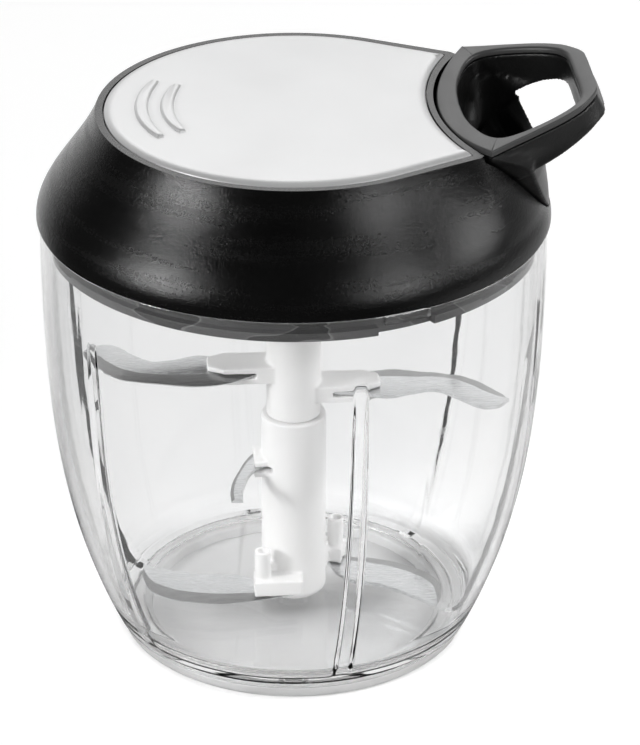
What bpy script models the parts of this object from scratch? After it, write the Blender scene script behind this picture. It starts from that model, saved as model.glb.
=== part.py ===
# Pull cord food chopper: clear bowl, blade unit on a centre pin, and a lid that holds
# the cord reel, its recoil spring and the pull handle. Metres, Z up, on the bowl's axis.
import math

import bmesh
import bpy
from mathutils import Vector

# Whole object
LID_OVERHANG = 0.0007
HANDLE_REACH_SHARE = 1.22656
GAP = 0.0003
RUNNING_GAP = 0.0005

# Bowl: swelling wall, floor, centre boss, ribs and bayonet lugs
BOWL_HEIGHT = 0.1117
BOWL_BASE_RADIUS = 0.0461
BOWL_RIM_RADIUS = 0.0633
BOWL_SWELL_POWER_SHARE = 3.1
BOWL_WALL = 0.0026
BOWL_FLOOR = 0.0030
BOWL_CORNER_INSET = 0.0066
BOWL_CORNER_HEIGHT = 0.0062
BOSS_RADIUS = 0.0040
BOSS_HEIGHT = 0.0030
RIB_ANGLES = (38.5, 101.0, 160.0, 214.0, 281.0, 341.0)
RIB_THICKNESS = 0.0016
RIB_DEPTH = 0.0022
RIB_TOP_DROP = 0.0165
RIB_TAPER = 0.0100
LUG_ANGLES = (52.0, 172.0, 292.0)
LUG_WIDTH_DEG = 11.0
LUG_DROP = 0.0033
LUG_THICKNESS = 0.0016
LUG_DEPTH = 0.0019

# Foot ring: soft ring with a tongue in a groove under the bowl
FOOT_HEIGHT = 0.0030
FOOT_INSET = 0.0011
FOOT_TAPER = 0.0014
FOOT_RING_WIDTH = 0.0075
FOOT_TONGUE_INSET = 0.0055
FOOT_TONGUE_WIDTH = 0.0025
FOOT_TONGUE_HEIGHT = 0.0012
FOOT_EDGE = 0.0008

# Pivot pin in the bowl's boss
PIN_RADIUS = 0.0020
PIN_LENGTH = 0.0290
PIN_SEAT = 0.0013
PIN_NOSE = 0.0012

# Blade unit: two tubes, arms, carriers and five blades
LOWER_TUBE_RADIUS = 0.00835
LOWER_TUBE_CLEARANCE = 0.0008
LOWER_TUBE_LENGTH = 0.0514
LOWER_TUBE_ROUND = 0.0022
SHAFT_BORE_PLAY = 0.0006
SHAFT_BORE_SPARE = 0.0035
BOSS_PLAY = 0.0007
BOSS_BORE_SPARE = 0.0012
UPPER_TUBE_RADIUS = 0.0070
SPIGOT_RADIUS = 0.0050
SPIGOT_DEPTH = 0.0090
SOCKET_RADIUS = 0.0092
SOCKET_LENGTH = 0.0180
SOCKET_DROP = 0.0018
SOCKET_FLOOR = 0.0040
HEX_PLAY = 0.0016
HEX_FLATS = 0.0092
BLADE_THICKNESS = 0.0010
BEVEL_SHARES = (0.34, 0.28)
LEFT_BLADE_HEIGHT = 0.0639
RIGHT_BLADE_HEIGHT = 0.0579
UPPER_BLADE_CLEARANCE = 0.0067
UPPER_BLADE_ANGLES = (180.0, 0.0)
UPPER_CUT_SHARES = (
    (0.1852, 0.0593),
    (0.3074, 0.1370),
    (0.4722, 0.1611),
    (0.6352, 0.1259),
    (0.7722, 0.0852),
    (0.8611, 0.0296),
    (0.9259, -0.0593),
    (0.9815, -0.1444),
    (1.0000, -0.2037),
)
UPPER_BACK_SHARES = (
    (0.1852, -0.0667),
    (0.3333, -0.0963),
    (0.4444, -0.1259),
    (0.5556, -0.0926),
    (0.6667, -0.0815),
    (0.7648, -0.1667),
    (0.8519, -0.2593),
    (0.9352, -0.2630),
    (1.0000, -0.2037),
)
ARM_REACH = 0.0220
ARM_HALF_WIDTH = 0.0048
ARM_THICKNESS = 0.0044
ARM_LIP = 0.0014
LOWER_BLADE_HEIGHT = 0.0032
LOWER_BLADE_OVERREACH = 0.0005
LOWER_BLADE_ANGLES = (0.0, 160.0)
LOWER_CUT_SHARES = (
    (0.0125, -0.2550),
    (-0.1425, -0.2900),
    (-0.2925, -0.3200),
    (-0.4950, -0.3400),
    (-0.6750, -0.3075),
    (-0.8400, -0.2450),
    (-0.9500, -0.1400),
    (-0.9925, 0.0200),
    (-0.9900, 0.1250),
)
LOWER_BACK_SHARES = (
    (-0.0250, -0.2250),
    (-0.1500, -0.2200),
    (-0.2725, -0.0750),
    (-0.4000, -0.0150),
    (-0.5875, 0.0000),
    (-0.7125, 0.0350),
    (-0.8200, 0.0750),
    (-0.9150, 0.1150),
    (-0.9900, 0.1500),
)
CARRIER_LENGTH = 0.0125
CARRIER_WIDTH = 0.0062
CARRIER_HEIGHT = 0.0042
CARRIER_OFFSET_Y = -0.0097
CARRIER_CENTRE_X = -0.0047
POST_RADIUS = 0.0021
POST_HEIGHT = 0.0078
POST_OFFSET_X = -0.0040
WINDOW_WIDTH = 0.0036
WINDOW_HEIGHT = 0.0040
MIDDLE_BLADE_HEIGHT = 0.0369
MIDDLE_BLADE_REACH = 0.0268
MIDDLE_CUT_SHARES = (
    (-0.2239, 0.1940),
    (-0.3657, 0.1716),
    (-0.4552, 0.0373),
    (-0.5336, -0.1679),
    (-0.6082, -0.3881),
    (-0.6418, -0.5970),
    (-0.6381, -0.7649),
)
MIDDLE_BACK_SHARES = (
    (-0.2239, -0.0746),
    (-0.3172, -0.1306),
    (-0.3918, -0.2052),
    (-0.4478, -0.3172),
    (-0.4925, -0.4664),
    (-0.5224, -0.6157),
    (-0.5299, -0.7761),
)

# Lid: dome, top plate, plug with bayonet flange, seal
DOME_SEAT_GAP = 0.0005
DOME_HEIGHT = 0.0269
DOME_TOP_SHARE = 0.7625
DOME_WALL = 0.0026
DOME_BASE_PULL_SHARES = (0.0066, 0.2639)
DOME_TOP_PULL_SHARES = (0.3224, 0.4424)
DOME_STEP = 0.0006
LID_CORNER_SHARES = (0.6625, 0.5156)
LID_CORNER_FADE_SHARE = 0.1859
PLATE_INSET = 0.0010
PLATE_PROUD = 0.0008
PLATE_THICKNESS = 0.0016
PLATE_CORNER_SHARES = (0.6250, 0.4875)
PLATE_ARC_INSET = 0.0027
PLATE_SEAT_GAP = 0.0004
PLATE_LEDGE = 0.0030
CRESCENT_HEIGHT = 0.0007
CRESCENT_WIDTH = 0.0036
CRESCENT_RADIUS_SHARES = (0.1953, 0.1797)
CRESCENT_CENTRE_SHARES = (-0.3984, -0.3203)
CRESCENT_HALF_ANGLE = 52.0
PLUG_PLAY = 0.0005
PLUG_DEPTH = 0.0060
PLUG_FLANGE_HEIGHT = 0.0022
PLUG_FLANGE_WIDTH = 0.0019
PLUG_RIM_PLAY = 0.0005
PLUG_RIM_HEIGHT = 0.0014
PLUG_WALL = 0.0024
PLUG_FLOOR_RISE = 0.0010
PLUG_FLOOR = 0.0020
PLUG_HOLE_RADIUS = 0.0092
NOTCH_WIDTH_DEG = 14.0
DETENT_OFFSET_DEG = 27.0
DETENT_DEPTH = 0.0007
DETENT_HEIGHT = 0.0024
SEAL_HEIGHT = 0.0014
SEAL_SQUEEZE_GAP = 0.0003
BUSH_PLAY = 0.0006
SCREW_ANGLES = (60.0, 120.0, 240.0, 300.0)
SCREW_INSET = 0.0103
SCREW_RADIUS = 0.0013
SCREW_HEAD_RADIUS = 0.0027
SCREW_HEAD_HEIGHT = 0.0016
SCREW_LENGTH = 0.0105
SCREW_POST_RADIUS = 0.0034
SCREW_RECESS = 0.0030

# Handle: tilted ring, scoop and the tongue that fills the lid's recess
HANDLE_GAP = 0.0005
HANDLE_ARC_SHARE = 0.5547
HANDLE_CORNER_SHARES = (0.7031, 0.5156)
HANDLE_PROUD = 0.0005
HANDLE_RISE_SHARE = 0.205
HANDLE_RISE_START_SHARE = 0.6875
HANDLE_BAR_HEIGHT = 0.0080
HANDLE_RIM_HEIGHT = 0.0024
HANDLE_RIM_RUN = 0.0090
HANDLE_CAP = 0.0015
HANDLE_CAP_GAP = 0.0003
HANDLE_OUTLINE_SHARES = (
    (0.6752, 0.3783),
    (0.7592, 0.3363),
    (0.8408, 0.2879),
    (0.9070, 0.2382),
    (0.9554, 0.1809),
    (0.9873, 0.1019),
)
HANDLE_OPENING_SHARES = (
    (0.5248, 0.0000),
    (0.5312, 0.1083),
    (0.5503, 0.2102),
    (0.5796, 0.2866),
    (0.6153, 0.3261),
    (0.6561, 0.3338),
    (0.7134, 0.3134),
    (0.7771, 0.2815),
    (0.8408, 0.2395),
    (0.8917, 0.1860),
    (0.9248, 0.1146),
    (0.9363, 0.0000),
)
TONGUE_HEIGHT_SHARES = (0.0706, 0.1004, 0.1599, 0.2639, 0.3903, 0.5390, 0.6877, 0.8364, 0.9851)
TONGUE_WIDTH_SHARES = (0.1212, 0.2576, 0.3788, 0.4939, 0.5818, 0.6606, 0.7515, 0.8545, 0.9879)
TONGUE_FACE_SHARES = (0.9906, 0.9891, 0.9859, 0.9797, 0.9750, 0.9750, 0.9766, 0.9781, 0.9781)
TONGUE_BACK_RUN_SHARE = 0.3672
TONGUE_FLOOR = 0.0012
TONGUE_BACK_POWER_SHARE = 1.3
TONGUE_BACK_HEIGHT_SHARE = 0.6654
SCOOP_BACK_WALL = 0.0055
SCOOP_SIDE_WALL = 0.0030
SCOOP_FACE_WALL = 0.0027
SCOOP_BOTTOM_SHARE = 0.2119
LIP_LOW_SHARE = 0.5019
LIP_HIGH_SHARE = 0.7695
LIP_WIDTH_SHARE = 0.3047
ANCHOR_BORE_RADIUS = 0.0019
FERRULE_RADIUS = 0.0016
FERRULE_LENGTH = 0.0024
FERRULE_INSET = 0.0012

# Drive: spindle, reel, cord, coupling, recoil spring and its cover
SPINDLE_RADIUS = 0.0024
SPINDLE_RECESS = 0.0017
SPINDLE_COVER = 0.0014
RETAINER_RADIUS = 0.0038
RETAINER_HEIGHT = 0.0012
COUPLING_HEX_LENGTH = 0.0120
COUPLING_NECK_LENGTH = 0.0048
COUPLING_NECK_RADIUS = 0.0066
COUPLING_FLANGE_HEIGHT = 0.0030
COUPLING_FLANGE_RADIUS = 0.0125
DRIVE_PEG_RADIUS = 0.0016
DRIVE_PEG_CIRCLE = 0.0092
DRIVE_PEG_HEIGHT = 0.0022
REEL_HUB_RADIUS = 0.0120
REEL_HUB_HEIGHT = 0.0085
REEL_PLAY = 0.0015
REEL_FLANGE = 0.0012
DRUM_SHARE = 0.6038
DRUM_HEIGHT = 0.0094
CORD_RADIUS = 0.0008
CORD_TURNS = 3.25
CORD_PITCH = 0.00212
SPRING_HEADROOM = 0.0020
SPRING_HEIGHT = 0.0060
SPRING_WELL_WALL = 0.0016
SPRING_STRIP_THICKNESS = 0.0004
SPRING_INNER_RADIUS = 0.0062
SPRING_WELL_PLAY = 0.0010
SPRING_TURNS = 6
ARBOR_RADIUS = 0.0052
COVER_CLEARANCE = 0.0028
COVER_WALL = 0.0016
COVER_HEADROOM = 0.0010
COVER_FOOT_WIDTH = 0.0065
COVER_FOOT = 0.0018
COVER_WINDOW_WIDTH = 0.0130
COVER_SCREW_ANGLES = (90.0, 210.0, 330.0)
COVER_SCREW_OFFSET = 0.0042
COVER_SCREW_RADIUS = 0.0009
COVER_SCREW_HEAD_RADIUS = 0.0018
COVER_SCREW_HEAD_HEIGHT = 0.0010
COVER_SCREW_LENGTH = 0.0032
GUIDE_RADIUS = 0.0030
GUIDE_BORE_RADIUS = 0.0012
GUIDE_LENGTH = 0.0052
GUIDE_INSET = 0.0005
GUIDE_FLANGE = 0.0010

# Facets and shading
SHARP_ANGLE = 32.0
AROUND = 60
AROUND_SMALL = 24
AROUND_SCREW = 12


# Heights, each from what carries the piece
BOWL_BOTTOM_Z = FOOT_HEIGHT + GAP
BOWL_FLOOR_Z = BOWL_BOTTOM_Z + BOWL_FLOOR
BOWL_CORNER_Z = BOWL_FLOOR_Z + BOWL_CORNER_HEIGHT
BOWL_RIM_Z = BOWL_BOTTOM_Z + BOWL_HEIGHT
RIB_TOP_Z = BOWL_RIM_Z - RIB_TOP_DROP
LUG_BOTTOM_Z = BOWL_RIM_Z - LUG_DROP
PIN_FOOT_Z = BOWL_FLOOR_Z - PIN_SEAT
PIN_TOP_Z = PIN_FOOT_Z + PIN_LENGTH
LOWER_TUBE_BOTTOM_Z = BOWL_FLOOR_Z + LOWER_TUBE_CLEARANCE
LOWER_TUBE_TOP_Z = LOWER_TUBE_BOTTOM_Z + LOWER_TUBE_LENGTH
SHAFT_BORE_TOP_Z = PIN_TOP_Z + SHAFT_BORE_SPARE
BOSS_BORE_TOP_Z = BOWL_FLOOR_Z + BOSS_HEIGHT + BOSS_BORE_SPARE
UPPER_BLADE_LEVELS = (
    LOWER_TUBE_BOTTOM_Z + LEFT_BLADE_HEIGHT,
    LOWER_TUBE_BOTTOM_Z + RIGHT_BLADE_HEIGHT,
)
LOWER_BLADE_Z = LOWER_TUBE_BOTTOM_Z + LOWER_BLADE_HEIGHT
MIDDLE_BLADE_Z = LOWER_TUBE_BOTTOM_Z + MIDDLE_BLADE_HEIGHT
DOME_BOTTOM_Z = BOWL_RIM_Z + DOME_SEAT_GAP
DOME_TOP_Z = DOME_BOTTOM_Z + DOME_HEIGHT
LID_CORNER_FADE_Z = DOME_BOTTOM_Z + LID_CORNER_FADE_SHARE * DOME_HEIGHT
PLATE_TOP_Z = DOME_TOP_Z + PLATE_PROUD
HANDLE_TOP_Z = PLATE_TOP_Z + HANDLE_PROUD
PLUG_BOTTOM_Z = BOWL_RIM_Z - PLUG_DEPTH
PLUG_FLOOR_Z = PLUG_BOTTOM_Z + PLUG_FLOOR_RISE
COUPLING_FLANGE_Z = PLUG_FLOOR_Z + PLUG_FLOOR + 2 * GAP
COUPLING_SHOULDER_Z = COUPLING_FLANGE_Z - COUPLING_NECK_LENGTH
COUPLING_BOTTOM_Z = COUPLING_SHOULDER_Z - COUPLING_HEX_LENGTH
SOCKET_TOP_Z = COUPLING_SHOULDER_Z - SOCKET_DROP
SOCKET_BOTTOM_Z = SOCKET_TOP_Z - SOCKET_LENGTH
REEL_BOTTOM_Z = COUPLING_FLANGE_Z + COUPLING_FLANGE_HEIGHT + RUNNING_GAP
REEL_FLANGE_Z = REEL_BOTTOM_Z + REEL_HUB_HEIGHT
REEL_TOP_Z = REEL_FLANGE_Z + REEL_FLANGE + DRUM_HEIGHT + REEL_FLANGE
ANCHOR_Z = REEL_TOP_Z - REEL_FLANGE - CORD_RADIUS - RUNNING_GAP
COVER_TOP_Z = REEL_TOP_Z + COVER_HEADROOM + COVER_WALL
SPRING_BOTTOM_Z = COVER_TOP_Z - COVER_WALL - SPRING_HEADROOM - SPRING_HEIGHT
SPINDLE_BOTTOM_Z = COUPLING_BOTTOM_Z + SPINDLE_RECESS
SPINDLE_TOP_Z = COVER_TOP_Z - SPINDLE_COVER
TONGUE_HEIGHTS = tuple(DOME_BOTTOM_Z + share * DOME_HEIGHT for share in TONGUE_HEIGHT_SHARES)
TONGUE_BACK_TOP_Z = DOME_BOTTOM_Z + TONGUE_BACK_HEIGHT_SHARE * DOME_HEIGHT
SCOOP_BOTTOM_Z = DOME_BOTTOM_Z + SCOOP_BOTTOM_SHARE * DOME_HEIGHT
LIP_LOW_Z = DOME_BOTTOM_Z + LIP_LOW_SHARE * DOME_HEIGHT
LIP_HIGH_Z = DOME_BOTTOM_Z + LIP_HIGH_SHARE * DOME_HEIGHT

# Radii and outlines, each from what the piece fits
LID_RADIUS = BOWL_RIM_RADIUS + LID_OVERHANG
HANDLE_END_X = HANDLE_REACH_SHARE * LID_RADIUS
AXIS_X = (LID_RADIUS - HANDLE_END_X) / 2
BOWL_SWELL = BOWL_RIM_RADIUS - BOWL_BASE_RADIUS
BOWL_FLOOR_RADIUS = BOWL_BASE_RADIUS - BOWL_CORNER_INSET
FOOT_RADIUS = BOWL_BASE_RADIUS - FOOT_INSET
FOOT_TOP_RADIUS = FOOT_RADIUS - FOOT_TAPER
FOOT_INNER_RADIUS = FOOT_RADIUS - FOOT_RING_WIDTH
FOOT_TONGUE_INNER = FOOT_RADIUS - FOOT_TONGUE_INSET
BOWL_MOUTH_RADIUS = BOWL_RIM_RADIUS - BOWL_WALL
UPPER_BLADE_REACH = BOWL_MOUTH_RADIUS - UPPER_BLADE_CLEARANCE
LOWER_BLADE_REACH = BOWL_FLOOR_RADIUS + LOWER_BLADE_OVERREACH
PLUG_FLANGE_RADIUS = BOWL_MOUTH_RADIUS - PLUG_PLAY
PLUG_NECK_RADIUS = PLUG_FLANGE_RADIUS - PLUG_FLANGE_WIDTH
SCREW_CIRCLE = PLUG_NECK_RADIUS - SCREW_INSET
PLUG_RIM_RADIUS = LID_RADIUS - DOME_WALL - PLUG_RIM_PLAY
SHAFT_BORE_RADIUS = PIN_RADIUS + SHAFT_BORE_PLAY
BOSS_BORE_RADIUS = BOSS_RADIUS + BOSS_PLAY
HEX_SOCKET_FLATS = HEX_FLATS + HEX_PLAY
BUSH_INNER_RADIUS = COUPLING_NECK_RADIUS + BUSH_PLAY
LID_CORNER = tuple(share * LID_RADIUS for share in LID_CORNER_SHARES)
PLATE_CORNER = tuple(share * LID_RADIUS for share in PLATE_CORNER_SHARES)
HANDLE_CORNER = tuple(share * LID_RADIUS for share in HANDLE_CORNER_SHARES)
HANDLE_ARC_X = HANDLE_ARC_SHARE * LID_RADIUS
HANDLE_RISE_START_X = HANDLE_RISE_START_SHARE * LID_RADIUS
DOME_TOP_RADIUS = DOME_TOP_SHARE * LID_RADIUS
PLATE_RADIUS = DOME_TOP_RADIUS - PLATE_INSET
PLATE_ARC_X = HANDLE_ARC_X - PLATE_ARC_INSET
TONGUE_BACK_RUN = TONGUE_BACK_RUN_SHARE * LID_RADIUS
LIP_HALF_WIDTH = LIP_WIDTH_SHARE * LID_RADIUS
COVER_INNER_RADIUS = HANDLE_ARC_X - HANDLE_GAP - DOME_WALL - COVER_WALL - COVER_CLEARANCE
COVER_FOOT_RADIUS = COVER_INNER_RADIUS + COVER_FOOT_WIDTH
COVER_SCREW_CIRCLE = COVER_INNER_RADIUS + COVER_SCREW_OFFSET
REEL_FLANGE_RADIUS = COVER_INNER_RADIUS - REEL_PLAY
DRUM_RADIUS = DRUM_SHARE * REEL_FLANGE_RADIUS
SPRING_WELL_RADIUS = DRUM_RADIUS - SPRING_WELL_WALL
SPRING_OUTER_RADIUS = SPRING_WELL_RADIUS - SPRING_WELL_PLAY
TONGUE_HALF_WIDTHS = tuple(share * HANDLE_CORNER[1] for share in TONGUE_WIDTH_SHARES)
TONGUE_FACE_RADII = tuple(share * LID_RADIUS for share in TONGUE_FACE_SHARES)
CRESCENTS = tuple(
    (centre * LID_RADIUS, radius * LID_RADIUS)
    for centre, radius in zip(CRESCENT_CENTRE_SHARES, CRESCENT_RADIUS_SHARES)
)


def drawn(shares, length):
    """Points of a drawn outline, given as shares of one length."""
    return tuple((x * length, y * length) for x, y in shares)


UPPER_CUT_EDGE = drawn(UPPER_CUT_SHARES, UPPER_BLADE_REACH)
UPPER_BACK_EDGE = drawn(UPPER_BACK_SHARES, UPPER_BLADE_REACH)
LOWER_CUT_EDGE = drawn(LOWER_CUT_SHARES, LOWER_BLADE_REACH)
LOWER_BACK_EDGE = drawn(LOWER_BACK_SHARES, LOWER_BLADE_REACH)
MIDDLE_CUT_EDGE = drawn(MIDDLE_CUT_SHARES, MIDDLE_BLADE_REACH)
MIDDLE_BACK_EDGE = drawn(MIDDLE_BACK_SHARES, MIDDLE_BLADE_REACH)
HANDLE_OUTLINE = drawn(HANDLE_OUTLINE_SHARES, HANDLE_END_X)
HANDLE_OPENING = drawn(HANDLE_OPENING_SHARES, HANDLE_END_X)


# Small helpers
def linspace(first, last, count):
    return [first + (last - first) * i / (count - 1) for i in range(count)]


def polar(radius, degrees):
    angle = math.radians(degrees)
    return radius * math.cos(angle), radius * math.sin(angle)


def smooth_line(points, steps):
    """Points on a smooth curve that passes through every given point."""
    ends = [points[0]] + list(points) + [points[-1]]
    line = []
    for i in range(1, len(ends) - 2):
        a, b, c, d = (Vector(p) for p in ends[i - 1:i + 3])
        for k in range(steps):
            t = k / steps
            line.append(
                0.5 * (2 * b + (c - a) * t + (2 * a - 5 * b + 4 * c - d) * t ** 2
                       + (3 * b - a - 3 * c + d) * t ** 3)
            )
    line.append(Vector(points[-1]))
    return [tuple(p) for p in line]


def between(value, xs, ys):
    """Straight line interpolation in a rising list."""
    if value <= xs[0]:
        return ys[0]
    for i in range(1, len(xs)):
        if value <= xs[i]:
            share = (value - xs[i - 1]) / (xs[i] - xs[i - 1])
            return ys[i - 1] + share * (ys[i] - ys[i - 1])
    return ys[-1]


def make_material(name, colour, roughness, metallic=0.0, transmission=0.0):
    material = bpy.data.materials.new(name)
    material.use_nodes = True
    shader = material.node_tree.nodes["Principled BSDF"]
    shader.inputs["Base Color"].default_value = (*colour, 1.0)
    shader.inputs["Roughness"].default_value = roughness
    shader.inputs["Metallic"].default_value = metallic
    shader.inputs["Transmission Weight"].default_value = transmission
    material.diffuse_color = (*colour, 1.0)
    return material


class Builder:
    """Keeps the collections, the frame empty and the mesh helpers together."""

    def __init__(self):
        for old in list(bpy.data.objects):
            bpy.data.objects.remove(old, do_unlink=True)
        self.parts = bpy.data.collections.new("food_chopper")
        self.tools = bpy.data.collections.new("cutters")
        for collection in (self.parts, self.tools):
            bpy.context.scene.collection.children.link(collection)
        self.frame = bpy.data.objects.new("bowl_axis", None)
        self.frame.location = (AXIS_X, 0, 0)
        self.parts.objects.link(self.frame)

    def add(self, name, mesh, material):
        if mesh.name != name:
            mesh.name = name
        body = bpy.data.objects.new(name, mesh)
        self.parts.objects.link(body)
        body.parent = self.frame
        mesh.materials.clear()
        mesh.materials.append(material)
        mesh.shade_smooth()
        mesh.set_sharp_from_angle(angle=math.radians(SHARP_ANGLE))
        return body

    def cut(self, mesh, *steps):
        """Runs EXACT Booleans: each step is an operation and a mesh."""
        for operation, other in steps:
            base = bpy.data.objects.new("cut_base", mesh)
            tool = bpy.data.objects.new("cut_tool", other)
            for item in (base, tool):
                self.tools.objects.link(item)
            tool.hide_render = True
            tool.display_type = "WIRE"
            boolean = base.modifiers.new("cut", "BOOLEAN")
            boolean.solver = "EXACT"
            boolean.operation = operation
            boolean.object = tool
            shape = base.evaluated_get(bpy.context.evaluated_depsgraph_get())
            result = bpy.data.meshes.new_from_object(shape)
            bpy.data.objects.remove(base, do_unlink=True)
            bpy.data.objects.remove(tool, do_unlink=True)
            mesh = tidy(result)
        return mesh


def tidy(mesh):
    """Merges doubled points and points every face outward."""
    work = bmesh.new()
    work.from_mesh(mesh)
    bmesh.ops.remove_doubles(work, verts=work.verts, dist=GAP / 300)
    bmesh.ops.dissolve_degenerate(work, edges=work.edges, dist=GAP / 300)
    bmesh.ops.recalc_face_normals(work, faces=work.faces)
    if work.calc_volume(signed=True) < 0:
        bmesh.ops.reverse_faces(work, faces=work.faces)
    work.to_mesh(mesh)
    work.free()
    return mesh


def mesh_from(name, points, faces):
    mesh = bpy.data.meshes.new(name)
    mesh.from_pydata(points, [], faces)
    return tidy(mesh)


def lathe(name, profile, around=AROUND, centre=(0, 0)):
    """Turns a closed profile of radius and height pairs about the Z axis."""
    points = []
    rings = []
    for radius, height in profile:
        if radius == 0:
            rings.append([len(points)] * around)
            points.append((centre[0], centre[1], height))
            continue
        start = len(points)
        for k in range(around):
            x, y = polar(radius, 360 * k / around)
            points.append((centre[0] + x, centre[1] + y, height))
        rings.append(list(range(start, start + around)))
    faces = []
    for i in range(len(rings)):
        lower = rings[i]
        upper = rings[(i + 1) % len(rings)]
        for k in range(around):
            n = (k + 1) % around
            corners = [lower[k], lower[n], upper[n], upper[k]]
            unique = list(dict.fromkeys(corners))
            if len(unique) > 2:
                faces.append(unique)
    return mesh_from(name, points, faces)


def loft(name, sections):
    """Skins closed sections that all have the same number of points."""
    count = len(sections[0])
    points = [tuple(p) for section in sections for p in section]
    faces = [list(range(count))]
    faces.append([len(points) - count + k for k in range(count)])
    for i in range(len(sections) - 1):
        for k in range(count):
            n = (k + 1) % count
            a = i * count
            faces.append([a + k, a + n, a + count + n, a + count + k])
    return mesh_from(name, points, faces)


def prism(name, outline, bottom, top):
    levels = [[(x, y, z) for x, y in outline] for z in (bottom, top)]
    return loft(name, levels)


def box(name, x0, x1, y0, y1, z0, z1):
    return prism(name, [(x0, y0), (x1, y0), (x1, y1), (x0, y1)], z0, z1)


def rod(name, start, end, radius, around=AROUND_SCREW):
    """A round bar between two points."""
    start, end = Vector(start), Vector(end)
    ahead = (end - start).normalized()
    side = ahead.orthogonal().normalized()
    up = ahead.cross(side)
    sections = []
    for place in (start, end):
        ring = []
        for k in range(around):
            angle = math.tau * k / around
            ring.append(place + radius * (math.cos(angle) * side + math.sin(angle) * up))
        sections.append(ring)
    return loft(name, sections)


def turned(mesh, degrees, about=(0, 0)):
    """Turns a mesh about a vertical line."""
    c, s = math.cos(math.radians(degrees)), math.sin(math.radians(degrees))
    for vertex in mesh.vertices:
        x = vertex.co.x - about[0]
        y = vertex.co.y - about[1]
        vertex.co.x = about[0] + c * x - s * y
        vertex.co.y = about[1] + s * x + c * y
    return mesh


def sector(name, inner, outer, bottom, top, angle, width, steps=6):
    """A curved block between two radii."""
    angles = linspace(angle - width / 2, angle + width / 2, steps)
    outline = [polar(outer, a) for a in angles]
    outline += [polar(inner, a) for a in reversed(angles)]
    return prism(name, outline, bottom, top)


def hexagon(flats):
    return [polar(flats / 2 / math.cos(math.radians(30)), 30 + 60 * k) for k in range(6)]


def tube_along(name, path, radius, around=8):
    """A round tube along a path, its sections carried without twist."""
    path = [Vector(p) for p in path]
    ahead = (path[1] - path[0]).normalized()
    side = ahead.orthogonal().normalized()
    sections = []
    for i, place in enumerate(path):
        low = path[max(i - 1, 0)]
        high = path[min(i + 1, len(path) - 1)]
        ahead = (high - low).normalized()
        side = (side - side.dot(ahead) * ahead).normalized()
        up = ahead.cross(side)
        ring = []
        for k in range(around):
            angle = math.tau * k / around
            ring.append(place + radius * (math.cos(angle) * side + math.sin(angle) * up))
        sections.append(ring)
    return loft(name, sections)


# Bowl and foot
def bowl_radius(height):
    """Outer radius of the bowl's wall at a height."""
    share = (height - BOWL_BOTTOM_Z) / (BOWL_RIM_Z - BOWL_BOTTOM_Z)
    share = min(max(share, 0), 1)
    return BOWL_BASE_RADIUS + BOWL_SWELL * (1 - (1 - share) ** BOWL_SWELL_POWER_SHARE)


def bowl_profile():
    floor_z = BOWL_BOTTOM_Z + BOWL_FLOOR
    groove_in = FOOT_TONGUE_INNER - GAP
    groove_out = FOOT_TONGUE_INNER + FOOT_TONGUE_WIDTH + GAP
    groove_z = BOWL_BOTTOM_Z + FOOT_TONGUE_HEIGHT + GAP
    profile = [
        (0, BOWL_BOTTOM_Z),
        (groove_in, BOWL_BOTTOM_Z),
        (groove_in, groove_z),
        (groove_out, groove_z),
        (groove_out, BOWL_BOTTOM_Z),
    ]
    heights = [BOWL_BOTTOM_Z + (BOWL_RIM_Z - BOWL_BOTTOM_Z) * (k / 10) ** 1.3 for k in range(11)]
    profile += [(bowl_radius(z), z) for z in heights]
    inner = [z for z in reversed(heights) if z > BOWL_CORNER_Z]
    profile += [(bowl_radius(z) - BOWL_WALL, z) for z in inner]
    corner_radius = bowl_radius(BOWL_CORNER_Z) - BOWL_WALL
    for k in range(5):
        angle = math.radians(90 * k / 4)
        radius = BOWL_FLOOR_RADIUS + (corner_radius - BOWL_FLOOR_RADIUS) * math.cos(angle)
        height = BOWL_CORNER_Z - (BOWL_CORNER_Z - floor_z) * math.sin(angle)
        profile.append((radius, height))
    boss_z = floor_z + BOSS_HEIGHT
    bore = PIN_RADIUS + GAP
    profile += [
        (BOSS_RADIUS, floor_z),
        (BOSS_RADIUS, boss_z),
        (bore, boss_z),
        (bore, PIN_FOOT_Z - GAP),
        (0, PIN_FOOT_Z - GAP),
    ]
    return profile


def rib_mesh(angle):
    """A thin rib down the inside of the wall, fading out at its top."""
    bottom = BOWL_BOTTOM_Z + BOWL_FLOOR / 2
    heights = linspace(bottom, RIB_TOP_Z, 9)
    inner, outer = [], []
    for z in heights:
        wall = bowl_radius(z) - BOWL_WALL
        low = max(BOWL_CORNER_Z - z, 0) / (BOWL_CORNER_Z - BOWL_BOTTOM_Z)
        fade = min((RIB_TOP_Z - z) / RIB_TAPER, 1)
        inner.append((wall - RIB_DEPTH * (fade - 0.2) - low * RIB_DEPTH, z))
        outer.append((wall + BOWL_WALL / 2, z))
    outline = inner + outer[::-1]
    sections = []
    for side in (-RIB_THICKNESS / 2, RIB_THICKNESS / 2):
        sections.append([(r, side, z) for r, z in outline])
    return turned(loft("rib", sections), angle)


def lug_mesh(angle):
    inside = bowl_radius(LUG_BOTTOM_Z) - BOWL_WALL
    return sector(
        "lug", inside - LUG_DEPTH, inside + BOWL_WALL / 2, LUG_BOTTOM_Z,
        LUG_BOTTOM_Z + LUG_THICKNESS, angle, LUG_WIDTH_DEG,
    )


def build_bowl(b, clear):
    mesh = lathe("bowl", bowl_profile())
    steps = [("UNION", rib_mesh(a)) for a in RIB_ANGLES]
    steps += [("UNION", lug_mesh(a)) for a in LUG_ANGLES]
    b.add("bowl", b.cut(mesh, *steps), clear)


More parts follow.
